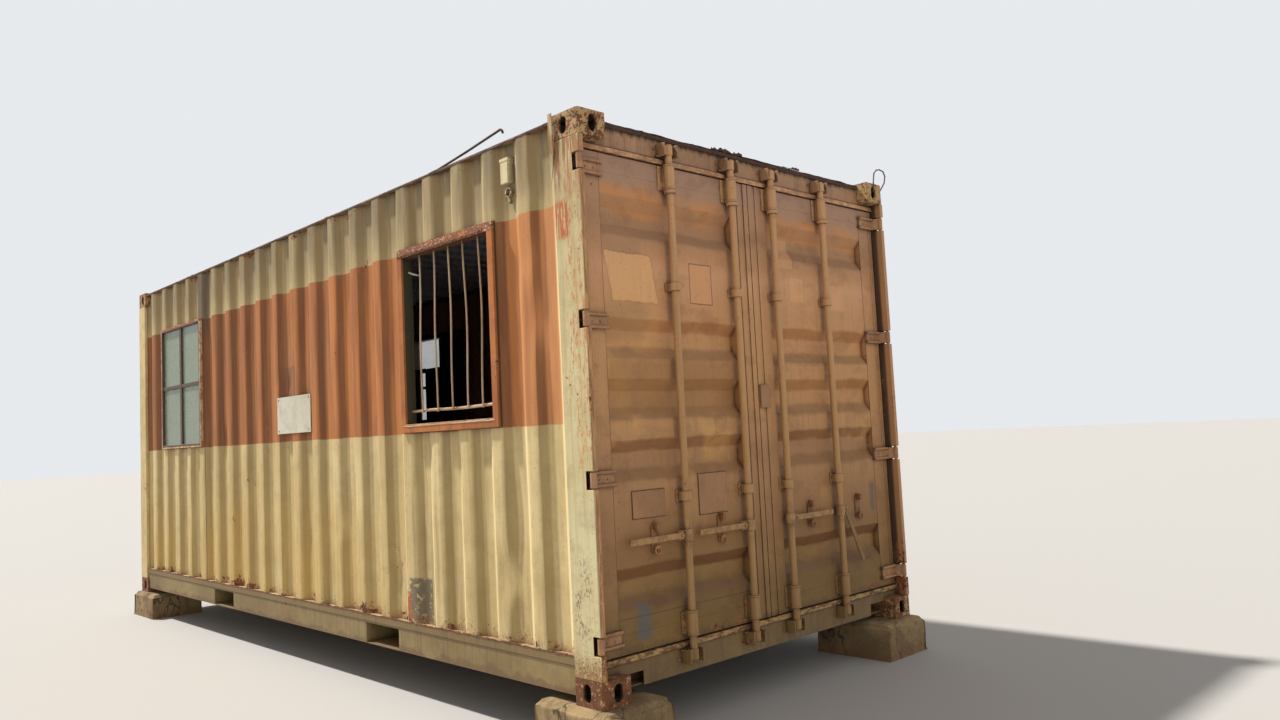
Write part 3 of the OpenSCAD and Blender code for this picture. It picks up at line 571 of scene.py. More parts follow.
def door_rust(g):
    """rust at the foot of the doors, along their edges and in thin runs"""
    foot = g.mul(g.step(g.z, 0.46, 0.385), g.noise(24, 4, 0.7, seed=71), 0.18)
    side = g.mul(g.step(g.abs(g.y), 1.1, 1.184), g.streaks(0.48, 0.62, (50, 50, 5), 72), 0.08)
    return g.add(foot, side)


LIP_X = 2.9585, 2.96  # the front faces of header strip and sill lip lie past this


def head_regions(g):
    """the light rain strip, the dark line over it, and the top edge painted black-brown with its drips:
    painted shade under the bent lip
    """
    edge = g.add(g.z, g.shake(0.16, 1.0, 4, 0.7, stretch=(30, 34, 3), seed=81))
    # painted shade under the bent lip, with drips
    g.over((70, 56, 48), g.step(edge, 2.735, 2.765), 0.9)
    g.over((78, 56, 42), g.between(g.z, 2.664, 2.669, 0.002), 0.8)
    light = g.mix(g.spots(0.4, 0.6, 14, stretch=(1, 1, 3), seed=82), shade(174, 132, 94), shade(134, 98, 70))
    g.over(light, g.between(g.z, 2.634, 2.663, 0.001), g.step(g.x, *LIP_X))


def sill_regions(g):
    """the light rusty lip at the top of the sill"""
    light = g.mix(g.spots(0.42, 0.58, 14, stretch=(1, 1, 3), seed=83), shade(152, 122, 78), shade(88, 60, 38))
    g.over(light, g.step(g.z, 0.35, 0.356), g.step(g.x, *LIP_X))


def side_rail_regions(g):
    """a painted highlight on the flange's pale pinkish top, the painted shadow of the flange on the brown
    upper strip, and olive web with a rusty foot
    """
    # painted shadow of the top flange on the strip below it
    g.over((122, 98, 62), g.step(g.z, 0.358, 0.362), 0.7)
    # painted highlight on the flange's upward faces
    g.over((206, 172, 136), g.step(g.nz, *TOWARDS), g.step(g.z, 0.395, 0.4), 0.8)
    g.over((84, 66, 46), g.between(g.z, 0.359, 0.3635, 0.001), 0.7)
    g.over((104, 74, 52), g.step(g.add(g.z, g.shake(0.14, 7, 4, 0.65, seed=84)), 0.275, 0.25), 0.6)


def frame_regions(g):
    """the barred window's frame: corroded top member with painted shade under it, reveals darkened by painted
    shade, a painted highlight on the bottom lip
    """
    n = g.noise(44, 4, 0.75, stretch=(1, 1, 2), seed=91)
    top = g.mul(g.step(g.z, 2.35, 2.372), g.spots(0.34, 0.46, 14, seed=92))
    g.over(g.mix(g.step(n, 0.56, 0.6), (118, 70, 44), (222, 188, 152)), top, 0.85)
    # painted shade under the top member
    g.over((46, 28, 18), g.step(g.nz, -0.5, -0.8), g.step(g.z, 2.3, 2.34), 0.9)
    # the reveals painted dark as painted shade, darkest on the faces turned away from the light
    deep = g.step(g.abs(g.y), 1.222, 1.217)
    shaded_side = g.step(g.nx, *TOWARDS)
    g.over((58, 60, 40), deep, shaded_side)
    g.over((96, 62, 42), deep, g.inv(shaded_side))
    # painted highlight on the upward faces of the bottom lip
    g.over((232, 206, 172), g.between(g.z, 1.444, 1.462, 0.003), g.step(g.nz, *TOWARDS), 0.85)


GLAZING = (-1.968, 1.911), (0.434, 0.484)  # middle and half size of the glazed window's brown part


def glazing_regions(g):
    """the glazed window's frame: brown members with a thin cream outline, and upper faces made pale as a
    painted highlight
    """
    sides = zip((g.x, g.z), *GLAZING)
    ring = g.most(*[g.step(g.abs(g.sub(v, middle)), half, half + 0.002) for v, middle, half in sides])
    g.over(g.mix(g.spots(0.42, 0.56, 20, seed=94), (206, 184, 146), (170, 118, 80)), ring)
    g.over((214, 200, 172), g.step(g.nz, *TOWARDS), 0.8)
    g.over((150, 84, 52), g.step(g.z, 2.385, 2.39), g.spots(0.46, 0.52, 9, seed=95))


def roof_regions(g):
    """rusty brown outside and grey-blue below"""
    g.over((206, 214, 232), g.step(g.nz, *AWAY))


def casting_paint(g):
    """more paint is left above and on the far side"""
    return g.add(g.mul(g.step(g.z, 1.0, 2.0), 0.07), g.mul(g.step(g.y, 0.0, 1.0), 0.03))


# small parts of the door gear: worn edges, dirt and painted shade in their corners
GEAR = dict(edge_r=0.004, dents=0.1, fine_dirt=0.5, crevices=1.0, specks=0.6, reach=0.03)
MATS = {
    "wall": weathered(
        "wall_paint", CREAM, CREAM_OLD, 0.12, 0.42, 0.0, dirt=(140, 118, 80), regions=wall_regions,
        dents=0.25, extra_rust=wall_rust, soft=0.004, fine_dirt=0.25, crevices=0.55, specks=0.2),
    "plain": weathered(
        "end_wall_paint", CREAM, CREAM_OLD, 0.25, 0.5, 0.0, dirt=(140, 118, 80), seed=3, dents=0.6,
        regions=front_regions),
    "toprail": weathered(
        "top_rail_paint", (170, 146, 108), (140, 114, 82), 0.75, 0.6, 0.0, seed=33, regions=rail_regions),
    "roof": weathered(
        "roof_paint", (140, 124, 96), (118, 98, 74), 0.85, 0.5, 0.0, seed=6, regions=roof_regions,
        crevices=0.0, extra_rust=lambda g: g.mul(g.step(g.nz, *AWAY), -1.0)),
    "post": weathered(
        "post_paint", (212, 204, 162), (202, 188, 142), 0.26, 0.35, 0.55, dirt=(150, 126, 84), seed=12,
        regions=post_regions, extra_rust=post_rust, dents=0.35, stain=(206, 134, 78), specks=0.5),
    "door": weathered(
        "door_paint", shade(152, 116, 84), shade(142, 108, 82), 0.12, 0.2, 0.0, dirt=(122, 90, 64),
        regions=door_regions, seed=20, rough=0.66, extra_rust=door_rust, dents=0.5, crevices=0.9, specks=0.45,
        reach=0.03),
    "plate": weathered(
        "plate_paint", shade(138, 103, 72), shade(126, 93, 63), 0.25, 0.2, 1.0, dirt=(132, 92, 64), seed=22,
        edge_r=0.005, dents=0.2, fine_dirt=0.4, crevices=0.9, specks=0.6, reach=0.02),
    "head": weathered(
        "header_paint", shade(146, 112, 84), shade(132, 98, 72), 0.3, 0.5, 0.4, dirt=(96, 72, 54), seed=25,
        regions=head_regions, crevices=0.9, specks=0.4),
    "sill": weathered(
        "sill_paint", shade(114, 94, 60), shade(100, 80, 52), 0.34, 0.35, 0.5, dirt=(84, 64, 44), seed=28,
        regions=sill_regions, crevices=0.9, specks=0.5),
    "rail": weathered(
        "rail_paint", (146, 126, 82), (128, 108, 68), 0.3, 0.45, 0.4, dirt=(98, 80, 54), seed=31,
        regions=side_rail_regions, specks=0.5),
    "under": weathered(
        "underside_paint", (104, 90, 66), (86, 72, 52), 0.6, 0.4, 0.0, dirt=(70, 56, 40), seed=35,
        crevices=0.0),
    "casting": rust_metal(
        "casting_rust", (214, 176, 124), 0.33, seed=2, size=2.6, tint=(0.5, (104, 70, 42)),
        regions=casting_regions, more_paint=casting_paint),
    "keeper": weathered(
        "keeper_paint", shade(140, 106, 78), shade(124, 92, 66), 0.34, 0.35, 0.9, dirt=(96, 72, 52), seed=43,
        regions=keeper_regions, **GEAR | {"fine_dirt": 0.6}),
    "box": weathered(
        "box_paint", (236, 226, 186), (222, 210, 168), 0.1, 0.3, 0.4, dirt=(150, 126, 84), seed=54, dents=0.1,
        regions=box_regions),
    "gear": weathered(
        "gear_paint", shade(150, 116, 76), shade(136, 104, 68), 0.34, 0.35, 0.9, dirt=(108, 80, 54), seed=40,
        regions=gear_regions, **GEAR),
    "hinge": weathered(
        "hinge_paint", shade(150, 112, 78), shade(134, 98, 68), 0.34, 0.4, 1.0, dirt=(100, 72, 50), seed=41,
        **GEAR | {"edge_r": 0.005, "reach": 0.025}),
    "catch": weathered(
        "catch_paint", shade(150, 104, 64), shade(112, 74, 44), 0.55, 0.3, 1.0, dirt=(70, 46, 32), seed=42,
        **GEAR | {"fine_dirt": 0.9, "specks": 0.8}),
    "window": weathered(
        "window_paint", (186, 114, 56), (160, 94, 44), 0.25, 0.3, 0.5, dirt=(100, 58, 36), seed=44, dents=0.1,
        regions=frame_regions, specks=0.4),
    "glazing": weathered(
        "glazing_frame", (88, 66, 52), (70, 52, 42), 0.2, 0.3, 0.0, seed=47, dents=0.1,
        regions=glazing_regions),
    "bars": weathered(
        "bar_paint", (208, 184, 152), (176, 146, 112), 0.36, 0.2, 0.0, dirt=(120, 92, 66), seed=50, dents=0.0,
        crevices=0.0),
    "white": weathered(
        "white_board", (212, 207, 190), (196, 188, 168), 0.0, 0.25, 0.4, dirt=(150, 138, 112), seed=53,
        dents=0.1),
    "crust": rust_metal("rust_crust", (222, 190, 152), 0.42, seed=60, size=2.0),
    "window_rust": rust_metal("window_crust", (214, 176, 138), 0.16, seed=68, size=3.0),
    "dark_rust": rust_metal("dark_rust", (120, 100, 84), 0.12, seed=64, dark=0.8),
    # darkened rust: along the header's top the darkening is painted shade under the bent lip
    "lip": rust_metal("header_lip_rust_and_shade", (96, 76, 62), 0.5, seed=66, size=2.0, dark=0.7),
}

# the remaining materials, one after another
g = Graph("seal_rubber")
n = g.noise(30, 4)
MATS["rubber"] = g.finish(g.mix(n, (26, 25, 24), (58, 54, 48)), 0.75, n, 0.3, 0.002)

g = Graph("cast_concrete")
g.col = g.mix(g.spots(0.38, 0.62, 4, 5, 0.65), (156, 132, 94), (120, 98, 68))
pits = g.step(g.cells(42), 0.16, 0.05)
grit = g.noise(160, 3, 0.7)
g.over((80, 64, 48), pits, 0.6)
g.over((186, 166, 134), g.step(grit, 0.5, 0.72), 0.45)
g.over((96, 78, 56), g.spots(0.5, 0.62, 7, 5, seed=5), 0.55)
crack = g.step(g.abs(g.sub(g.noise(3.2, 3, 0.6, stretch=(1, 1, 0.5), seed=6), 0.5)), 0.01, 0.003)
g.over((54, 42, 32), crack, 0.8)
g.over((120, 82, 54), g.step(g.z, 0.1, 0.0), 0.5)
height = g.add(g.mul(pits, -0.8), g.add(g.mul(grit, 0.5), g.mul(g.noise(9, 4), 1.5)))
MATS["concrete"] = g.finish(g.col, 0.93, height, 0.7, 0.006)

g = Graph("floor_board")
planks = g.step(g.math("FRACT", g.mul(g.y, 4.1)), 0.0, 0.025)
grain = g.noise(3, 5, 0.6, stretch=(1.5, 22, 22))
g.col = g.mix(grain, (192, 166, 128), (160, 134, 98))
g.over((96, 76, 56), g.spots(0.45, 0.7, 2.4, 4, 0.55), 0.5)
g.over((30, 24, 18), g.inv(planks))
MATS["floor"] = g.finish(g.col, 0.8, g.add(g.mul(grain, 0.4), planks), 0.4, 0.002)

g = Graph("dusty_glass")
dust = g.spots(0.3, 0.75, 3, 5, 0.6, stretch=(1, 1, 1.6))
rib = g.step(g.math("FRACT", g.mul(g.x, 34.0)), 0.35, 0.65)
g.bsdf.inputs["IOR"].default_value = 1.45
g.put(g.mul(g.blend(dust, 0.8, 0.62), g.blend(g.step(g.y, 0.0, 0.5), 1.0, 0.45)), g.bsdf.inputs["Alpha"])
g.col = g.mix(dust, (140, 156, 136), (168, 178, 158))
MATS["glass"] = g.finish(g.lay(g.col, (110, 126, 110), rib, 0.16), g.blend(dust, 0.12, 0.4), rib, 0.2, 0.002)

g = Graph("dark_wire")
MATS["wire"] = g.finish(g.mix(g.noise(40, 3), (70, 66, 66), (104, 84, 66)), 0.6)

g = Graph("dark_board")
n = g.noise(5, 4, stretch=(1, 1, 3))
MATS["board"] = g.finish(g.mix(n, (66, 50, 38), (46, 34, 26)), 0.85, n, 0.2, 0.002)

g = Graph("stage_floor")
g.put((0.44, 0.43, 0.42, 1), g.bsdf.inputs["Base Color"])
g.put(0.9, g.bsdf.inputs["Roughness"])
MATS["stage"] = g.mat

USES = {
    "wall": "window_side_wall rear_side_wall", "plain": "front_wall front_end_posts front_rails",
    "toprail": "top_side_rails", "roof": "roof_sheet", "post": "door_end_posts",
    "door": "left_door_frame left_door_panel right_door_frame right_door_panel",
    "plate": "left_door_plates right_door_plate", "head": "door_header", "sill": "door_sill",
    "rail": "bottom_side_rails fork_pockets", "under": "cross_members", "casting": "corner_castings",
    "dark_rust": "roof_rod", "keeper": "cam_keepers", "box": "switch_box",
    "gear": "left_rod_bearings right_rod_bearings lock_rod_1 lock_rod_2 lock_rod_3 lock_rod_4 "
            "handle_1 handle_2 handle_3 handle_4",
    "hinge": "left_hinge_blades right_hinge_blades", "catch": "left_handle_catches right_handle_catches",
    "window": "barred_window_frames", "glazing": "glazed_window_frames", "glass": "window_glass",
    "white": "sign_board", "rubber": "left_door_gasket right_door_gasket", "concrete": "concrete_blocks",
    "floor": "floor", "wire": "wire_loop",
}
for key, names in USES.items():
    for name in names.split():
        o = NODES[name]
        if not o.material_slots:
            o.data.materials.append(None)
        for s in o.material_slots:
            s.link = "OBJECT"
            s.material = MATS[key]

TOGETHER = 0.00005  # vertices closer than this are one


def weld(o, distance=TOGETHER):
    """joins the vertices of a CAD node's mesh that lie together, as a modifier"""
    o.modifiers.new("weld", "WELD").merge_threshold = distance


def soften(name, width, segments=2, angle=34):
    """small rounded edges on a CAD node, as modifiers"""
    o = NODES[name]
    weld(o)
    b = o.modifiers.new("bevel", "BEVEL")
    b.width, b.segments, b.limit_method, b.angle_limit = width, segments, "ANGLE", math.radians(angle)
    weld(o, 0.00002)
    o.modifiers.new("normals", "WEIGHTED_NORMAL").keep_sharp = True


ROUNDED = {
    0.004: "corner_castings", 0.003: "door_end_posts front_end_posts switch_box",
    0.002: "left_hinge_blades right_hinge_blades cam_keepers barred_window_frames",
    0.0015: "door_header door_sill bottom_side_rails left_handle_catches right_handle_catches "
            "handle_1 handle_2 handle_3 handle_4 glazed_window_frames",
}
for width, names in ROUNDED.items():
    for name in names.split():
        soften(name, width)
for name in ("left_door_panel", "right_door_panel"):
    soften(name, 0.009, 3, 22)
for name in ("roof_rod", "wire_loop"):
    weld(NODES[name])


# added pieces
X, Y, Z = (1, 0, 0), (0, 1, 0), (0, 0, 1)
NEAR = (0, -1, 0)  # the way the near long side faces
ROD_Y = (0.165, 0.62)
HINGE_Z = (0.462, 1.159, 1.856, 2.553)
KEEPER_X, KEEPER_Z = 2.958, (2.712, 0.3)
BEARING_X = 2.9635  # front face of the rods' bearings
WALL_END = 2.84  # the long walls' free length, both ways
BOARD_Y = 1.154, 1.1625
BLOCK_AT, BLOCK_HALF = (2.851, 1.061, 0.1), (0.25, 0.2, 0.1)


def piece(name, bm, mat, smooth=False, body="cabin"):
    """a mesh piece in the frame's metres that rides on a body"""
    bmesh.ops.recalc_face_normals(bm, faces=bm.faces)
    me = bpy.data.meshes.new(name)
    bm.to_mesh(me)
    bm.free()
    for p in me.polygons:
        p.use_smooth = smooth
    o = bpy.data.objects.new(name, me)
    scene.collection.objects.link(o)
    me.materials.append(MATS[mat])
    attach(o, body)
    return o


def ring_at(bm, at, side, other, r, n):
    """n vertices on a circle round a point, in the plane of two directions"""
    turns = [2 * math.pi * k / n for k in range(n)]
    return [bm.verts.new(at + (side * math.cos(t) + other * math.sin(t)) * r) for t in turns]


def skin(bm, rings):
    """faces between rings of vertices, with both ends closed"""
    n = len(rings[0])
    for a, b in zip(rings, rings[1:]):
        for k in range(n):
            bm.faces.new((a[k], a[(k + 1) % n], b[(k + 1) % n], b[k]))
    bm.faces.new(rings[0])
    bm.faces.new(rings[-1])


def add_tube(bm, pts, r, n=10):
    """a round bar through points, with closed ends"""
    rings = []
    for i, p in enumerate(pts):
        t = (Vector(pts[min(i + 1, len(pts) - 1)]) - Vector(pts[max(i - 1, 0)])).normalized()
        side = t.cross(Vector(Y) if abs(t.y) < 0.9 else Vector(X)).normalized()
        rings.append(ring_at(bm, Vector(p), side, t.cross(side), r, n))
    skin(bm, rings)


def add_lathe(bm, at, axis, profile, n):
    """a turned shape: profile is (distance along axis, radius) pairs"""
    axis = Vector(axis).normalized()
    side = axis.cross(Vector(Z) if abs(axis.z) < 0.9 else Vector(X)).normalized()
    skin(bm, [ring_at(bm, Vector(at) + axis * d, side, axis.cross(side), r, n) for d, r in profile])


def add_bolt(bm, at, axis, r, h, n=6):
    """a bolt head on a washer, or a rivet head when n is large"""
    rivet = ((0, 1), (0.35, 0.97), (0.75, 0.75), (1, 0.3))
    bolt = ((0, 1.25), (0.2, 1.25), (0.21, 1), (0.85, 1), (1, 0.85))
    profile = [(h * up, r * wide) for up, wide in (rivet if n > 8 else bolt)]
    profile[0] = (-0.001, profile[0][1])
    add_lathe(bm, at, axis, profile, n)


def add_box(bm, lo, hi, chamfer):
    """a box with chamfered edges"""
    part = bmesh.new()
    bmesh.ops.create_cube(part, size=1.0)
    lo, hi = Vector(lo), Vector(hi)
    for v in part.verts:
        v.co = Vector([lo[i] + (v.co[i] + 0.5) * (hi[i] - lo[i]) for i in range(3)])
    bmesh.ops.bevel(part, geom=part.edges[:], offset=chamfer, segments=2, profile=0.6, affect="EDGES")
    me = bpy.data.meshes.new("box")
    part.to_mesh(me)
    part.free()
    bm.from_mesh(me)
    bpy.data.meshes.remove(me)


def add_ragged(bm, a, b, out, above, width, thick, rag, step, seed):
    """a flaky strip from a to b on a face; out points away from the face, above to the ragged side"""
    r = random.Random(seed)
    a, b, out, above = Vector(a), Vector(b), Vector(out), Vector(above)
    n = max(int((b - a).length / step), 2)
    rows, w = [], width
    for i in range(n + 1):
        p = a.lerp(b, i / n)
        w = max(w + r.uniform(-1, 1) * rag + (width - w) * 0.4, 0.001)
        t = max(0.0004, thick * r.uniform(0.3, 1.0))
        lo = rag * 0.3 * r.random()
        low, high = p + above * lo, p + above * (lo + w)
        belly = p + above * (lo + w) * 0.6 + out * thick * r.uniform(0.6, 1.0)
        rows.append([bm.verts.new(q) for q in (low, low + out * t, belly, high + out * t * 0.4, high)])
    skin(bm, rows)


# middle x and z, half width and height, depth of each dent; places that stay flat
DENTS = ((2.356, 0.694, 0.045, 0.12, 0.016), (2.405, 0.6, 0.03, 0.05, -0.007), (0.896, 1.08, 0.05, 0.1, 0.01),
         (1.144, 1.077, 0.04, 0.09, 0.01), (1.723, 1.344, 0.04, 0.14, 0.008), (2.58, 2.182, 0.07, 0.1, 0.009),
         (2.643, 1.9, 0.06, 0.13, 0.011), (-0.05, 1.8, 0.1, 0.06, 0.008), (1.97, 1.21, 0.05, 0.1, 0.008),
         (0.71, 0.924, 0.05, 0.09, 0.009), (-1.15, 1.454, 0.06, 0.12, 0.009), (2.45, 0.95, 0.05, 0.2, 0.009),
         (-0.65, 1.25, 0.03, 0.12, 0.009), (1.3, 0.62, 0.06, 0.1, 0.01), (0.2, 0.8, 0.05, 0.14, 0.009),
         (2.62, 2.5, 0.1, 0.07, 0.007))
FLAT = ((1.46, 2.4, 1.39, 2.43), (-2.44, -1.5, 1.39, 2.43), (-0.17, 0.37, 1.44, 1.72),
        (2.43, 2.52, 2.46, 2.71))


def clamp(v):
    """v, kept within 0 and 1"""
    return min(max(v, 0), 1)


def pushed_in(x, z, mirror):
    """how far a long wall is pushed in at this place: dents and the slight waves of thin sheet"""
    wide = 0.0018 * noise.noise(Vector((x * 2.6, z * 1.9, 3.1)))
    h = wide + 0.0008 * noise.noise(Vector((x * 9, z * 6, 8.7)))
    for x0, z0, rx, rz, depth in DENTS:
        h += depth * math.exp(-(((-x if mirror else x) - x0) / rx) ** 2 - ((z - z0) / rz) ** 2)
    h *= clamp((z - 0.42) / 0.06) * clamp((2.745 - z) / 0.06) * clamp((2.8 - abs(x)) / 0.08)
    for x0, x1, z0, z1 in FLAT:
        h *= clamp(max(x0 - x, x - x1, z0 - z, z - z1) / 0.05)
    return h


def from_node(name):
    """a CAD node's mesh with its flat faces joined, to be cut finer and worked on"""
    bm = bmesh.new()
    bm.from_mesh(NODES[name].data)
    bmesh.ops.remove_doubles(bm, verts=bm.verts[:], dist=TOGETHER)
    bmesh.ops.dissolve_limit(bm, angle_limit=math.radians(0.5), verts=bm.verts[:], edges=bm.edges[:])
    return bm


def slice_up(bm, axis, lo, hi, pitch):
    """cuts a mesh with parallel planes"""
    no = Vector([1.0 if i == axis else 0.0 for i in range(3)])
    for k in range(1, int((hi - lo) / pitch) + 1):
        geom = bm.verts[:] + bm.edges[:] + bm.faces[:]
        bmesh.ops.bisect_plane(bm, geom=geom, dist=0.00002, plane_co=no * (lo + k * pitch), plane_no=no)


def smooth_by_angle(o, degrees):
    """smooth shading with sharp edges where faces meet at more than this angle"""
    for p in o.data.polygons:
        p.use_smooth = True
    o.data.set_sharp_from_angle(angle=math.radians(degrees))


# long walls with dents
for node, name, sy in (("window_side_wall", "near_dented_wall", -1),
                       ("rear_side_wall", "rear_dented_wall", 1)):
    bm = from_node(node)
    slice_up(bm, 2, 0.403, 2.763, 0.036)
    slice_up(bm, 0, -2.85, 2.96, 0.034)
    for v in bm.verts:
        v.co.y -= sy * pushed_in(v.co.x, v.co.z, sy > 0)
    o = piece(name, bm, "wall")
    smooth_by_angle(o, 24)
    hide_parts(node)

# concrete blocks with broken edges and a rough cast face
bm = from_node("concrete_blocks")
for axis, lo, hi in ((0, -3.12, 3.12), (1, -1.28, 1.28), (2, 0.0, 0.2)):
    slice_up(bm, axis, lo, hi, 0.02)
bm.normal_update()
moves = []
for v in bm.verts:
    c = v.co
    u = sorted([abs(abs(c[i]) - BLOCK_AT[i]) / BLOCK_HALF[i] for i in range(3)])
    edge = clamp((u[1] - 0.8) / 0.2)
    n = noise.noise(c * 9.0) * 0.5 + 0.5
    fine = noise.noise(c * 38.0) * 0.5 + 0.5
    broken = max(noise.noise(c * 5.0 + Vector((4, 1, 7))) + 0.15, 0)
    push = 0.004 * n + 0.003 * fine + edge * (0.022 * broken + 0.006 * fine)
    if c.z > 0.195:
        push = min(push, 0.012 * edge)
    if c.z < 0.004:
        push = 0.0
    moves.append(v.normal * -push)
for v, m in zip(bm.verts, moves):
    v.co += m
    v.co.z = max(v.co.z, 0.0)
o = piece("rough_blocks", bm, "concrete")
smooth_by_angle(o, 40)
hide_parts("concrete_blocks")

rnd = random.Random(7)
BAR_X = (1.652, 1.797, 1.94, 2.076, 2.209)


def window_bars(name, sy):
    """five bent bars that end on one low cross bar, welded into a barred window"""
    bm = bmesh.new()
    y = sy * 1.196
    zlo, zhi = Z0 + 1.318, Z0 + 2.176
    for x in BAR_X:
        bow, phase = rnd.uniform(-0.007, 0.007), rnd.uniform(0, 6)
        pts = []
        for t in [k / 12 for k in range(13)]:
            sway = bow * math.sin(3.1 * t + phase) + 0.003 * math.sin(9 * t + phase)
            pts.append((x + sway, y + 0.004 * sy * math.sin(4 * t + phase), zlo + (zhi - zlo) * t))
        add_tube(bm, pts, 0.005)
        weld_bead = [(0, 0.006), (0.006, 0.0105), (0.014, 0.0075), (0.016, 0.0065)]
        add_lathe(bm, (*pts[0][:2], zlo - 0.002), Z, weld_bead, 8)
    cross = [(1.486 + 0.888 * k / 8, y - sy * 0.013, Z0 + 1.326 + 0.003 * math.sin(k)) for k in range(9)]
    add_tube(bm, cross, 0.0075)
    piece(name, bm, "bars", True)


window_bars("near_window_bars", -1)
window_bars("rear_window_bars", 1)

# crust and lip on the near barred window's frame, and a light bent strip inside it
bm = bmesh.new()
add_ragged(bm, (1.49, -1.2322, 2.368), (2.3, -1.2322, 2.368), NEAR, Z, 0.012, 0.005, 0.006, 0.01, 3)
add_ragged(bm, (1.5, -1.23, 2.408), (2.25, -1.23, 2.408), Z, Y, 0.016, 0.006, 0.006, 0.011, 5)
piece("near_window_crust", bm, "window_rust")
bm = bmesh.new()
add_ragged(bm, (1.512, -1.2321, 1.4445), (2.348, -1.2321, 1.4445), NEAR, Z, 0.008, 0.003, 0.002, 0.016, 8)
piece("near_window_lip", bm, "bars")
bm = bmesh.new()
STICK = (1.53, -1.19, 2.29), (1.54, -1.175, 2.282), (1.548, -1.155, 2.277), (1.556, -1.14, 2.273)
add_tube(bm, STICK, 0.0055, 8)
piece("near_window_stick", bm, "white", True)

# boards inside the rear glazed window leave an upper band and a slot of daylight
bm = bmesh.new()
for x0, x1, z0, z1 in ((-2.43, -2.29, 1.4, 2.096), (-2.184, -1.505, 1.4, 2.092),
                       (-2.3, -2.18, 1.4, 1.59), (-2.3, -2.18, 2.052, 2.098),
                       (-1.88, -1.505, 2.088, 2.42), (-2.43, -1.87, 2.382, 2.424)):
    add_box(bm, (x0, BOARD_Y[0] - rnd.uniform(0, 0.004), z0), (x1, BOARD_Y[1], z1), 0.0015)
piece("rear_window_boards", bm, "board")

# the header's rusted, bent upper lip, darkened with painted shade
bm = bmesh.new()
add_ragged(bm, (2.9705, -1.05, 2.752), (2.9705, 1.05, 2.752), X, Z, 0.02, 0.0025, 0.004, 0.022, 11)
add_ragged(bm, (2.945, -1.05, 2.7785), (2.945, 1.05, 2.7785), Z, X, 0.02, 0.0035, 0.004, 0.03, 12)
add_ragged(bm, (2.966, -0.27, 2.778), (2.966, -0.03, 2.778), X, Z, 0.013, 0.006, 0.008, 0.012, 13)
add_ragged(bm, (2.966, 0.32, 2.778), (2.966, 0.47, 2.778), X, Z, 0.01, 0.006, 0.007, 0.012, 14)
piece("header_rust_lip", bm, "lip")

# jagged rust at the foot of both long walls and along the roof edge
for sy, tag in ((-1, "near"), (1, "rear")):
    for name, mat, y, z, sizes, seed in (
            ("_wall_rust_edges", "crust", 1.2142, 0.4025, (0.005, 0.0035, 0.0032, 0.02), 21),
            ("_roof_edge_rust", "lip", 1.2132, 2.76, (0.011, 0.003, 0.004, 0.022), 25)):
        bm = bmesh.new()
        add_ragged(bm, (-WALL_END, sy * y, z), (WALL_END, sy * y, z), (0, sy, 0), Z, *sizes, seed + sy)
        piece(tag + name, bm, mat)

# bent strap beside the near top casting
bm = bmesh.new()
STRAP = ((2.838, -1.2195, 2.5, 0.15), (2.84, -1.221, 2.56, 0.5), (2.841, -1.226, 2.62, 0.9),
         (2.842, -1.231, 2.7, 1.0), (2.843, -1.229, 2.8, 0.8))
SECTION = (0, 0), (0.03, 0), (0.03, -0.004), (0, -0.004)
skin(bm, [[bm.verts.new((x + dx * w, y + dy, z)) for dx, dy in SECTION] for x, y, z, w in STRAP])
piece("corner_strap", bm, "post")

# flashing that closes the roof sheet's front end, and gussets over the front castings
bm = bmesh.new()
add_box(bm, (-2.975, -1.15, 2.7753), (-2.912, 1.15, 2.7783), 0.0008)
piece("roof_end_flashing", bm, "roof")
bm = bmesh.new()
for sy in (-1, 1):
    y0, y1 = sorted((sy * 1.0562, sy * 1.1098))
    add_box(bm, (-3.02, y0, 0.3183), (-3.014, y1, 0.4045), 0.0008)
piece("front_gussets", bm, "plain")

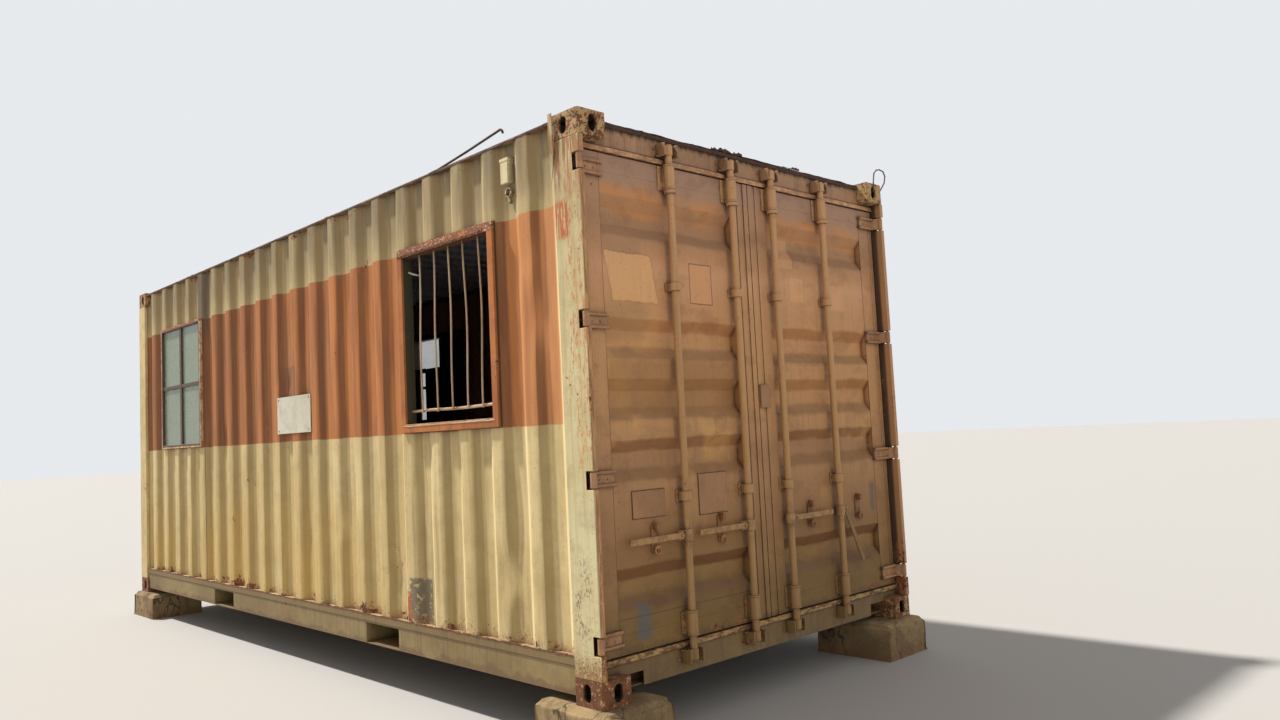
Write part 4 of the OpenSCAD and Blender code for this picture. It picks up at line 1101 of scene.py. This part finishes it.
# keeper rivets, sign screws, lid and broken fitting of the switch box
bm = bmesh.new()
for y in (-ROD_Y[1], -ROD_Y[0], *ROD_Y):
    for dy in (-0.065, 0.065):
        for z in KEEPER_Z:
            add_bolt(bm, (KEEPER_X, y + dy, z), X, 0.008, 0.006, 12)
piece("keeper_rivets", bm, "catch", True)
bm = bmesh.new()
for x in (-0.12, 0.324):
    for z in (1.48, 1.684):
        add_bolt(bm, (x, -1.219, z), NEAR, 0.006, 0.003, 12)
piece("sign_screws", bm, "catch", True)
bm = bmesh.new()
add_box(bm, (2.44, -1.2155, 2.676), (2.508, -1.1785, 2.6925), 0.002)
add_box(bm, (2.447, -1.2145, 2.5705), (2.501, -1.2115, 2.672), 0.001)
add_tube(bm, [(2.478, -1.19, 2.5), (2.479, -1.189, 2.486), (2.482, -1.187, 2.474)], 0.006, 8)
piece("switch_box_lid", bm, "box")


def door_hardware(side, sy):
    """ribs and bolts of the hinge blades, bearing bolts and rings, and edge strips of one door"""
    body = side + "_door"
    bm = bmesh.new()
    for z in HINGE_Z:
        for dz in (-0.028, 0.028):
            rib = ((2.966, 1.034), (2.9745, 1.044), (2.9745, 1.16), (2.98, 1.172))
            add_tube(bm, [(x, sy * y, z + dz) for x, y in rib], 0.0078, 8)
        for y in (1.084, 1.132):
            add_bolt(bm, (2.9702, sy * y, z - 0.003), X, 0.0045, 0.004)
    piece(side + "_hinge_ribs", bm, "hinge", True, body)
    bm = bmesh.new()
    for y in ROD_Y:
        for zc, w, h in ((2.568, 0.04, 0.036), (0.462, 0.033, 0.03)):
            for dz in (-h, h):
                for dy in (-w, w):
                    add_bolt(bm, (BEARING_X, sy * y + dy, zc + dz), X, 0.006, 0.005)
        for zc in (2.037, 1.048):
            for dy in (-0.03, 0.03):
                add_bolt(bm, (BEARING_X, sy * y + dy, zc), X, 0.0035, 0.004)
        for zc in (2.626, 2.512, 0.515, 0.41):
            ring = [(0, 0.0185), (0.0005, 0.0295), (0.0075, 0.0295), (0.008, 0.0185)]
            add_lathe(bm, (2.995, sy * y, zc - 0.004), Z, ring, 20)
    piece(side + "_bearing_bolts", bm, "gear", True, body)
    bm = bmesh.new()
    for y, w in ((1.172, 0.006), (1.15, 0.003)):
        add_box(bm, (2.957, sy * y - w, 0.392), (2.9605, sy * y + w, 2.624), 0.001)
    piece(side + "_edge_strips", bm, "door", False, body)


door_hardware("left", -1)
door_hardware("right", 1)

# floor
bm = bmesh.new()
for x, y in ((-90, -90), (90, -90), (90, 90), (-90, 90)):
    bm.verts.new((x, y, 0))
bm.faces.new(bm.verts)
me = bpy.data.meshes.new("studio_floor")
bm.to_mesh(me)
bm.free()
floor = bpy.data.objects.new("studio_floor", me)
scene.collection.objects.link(floor)
me.materials.append(MATS["stage"])
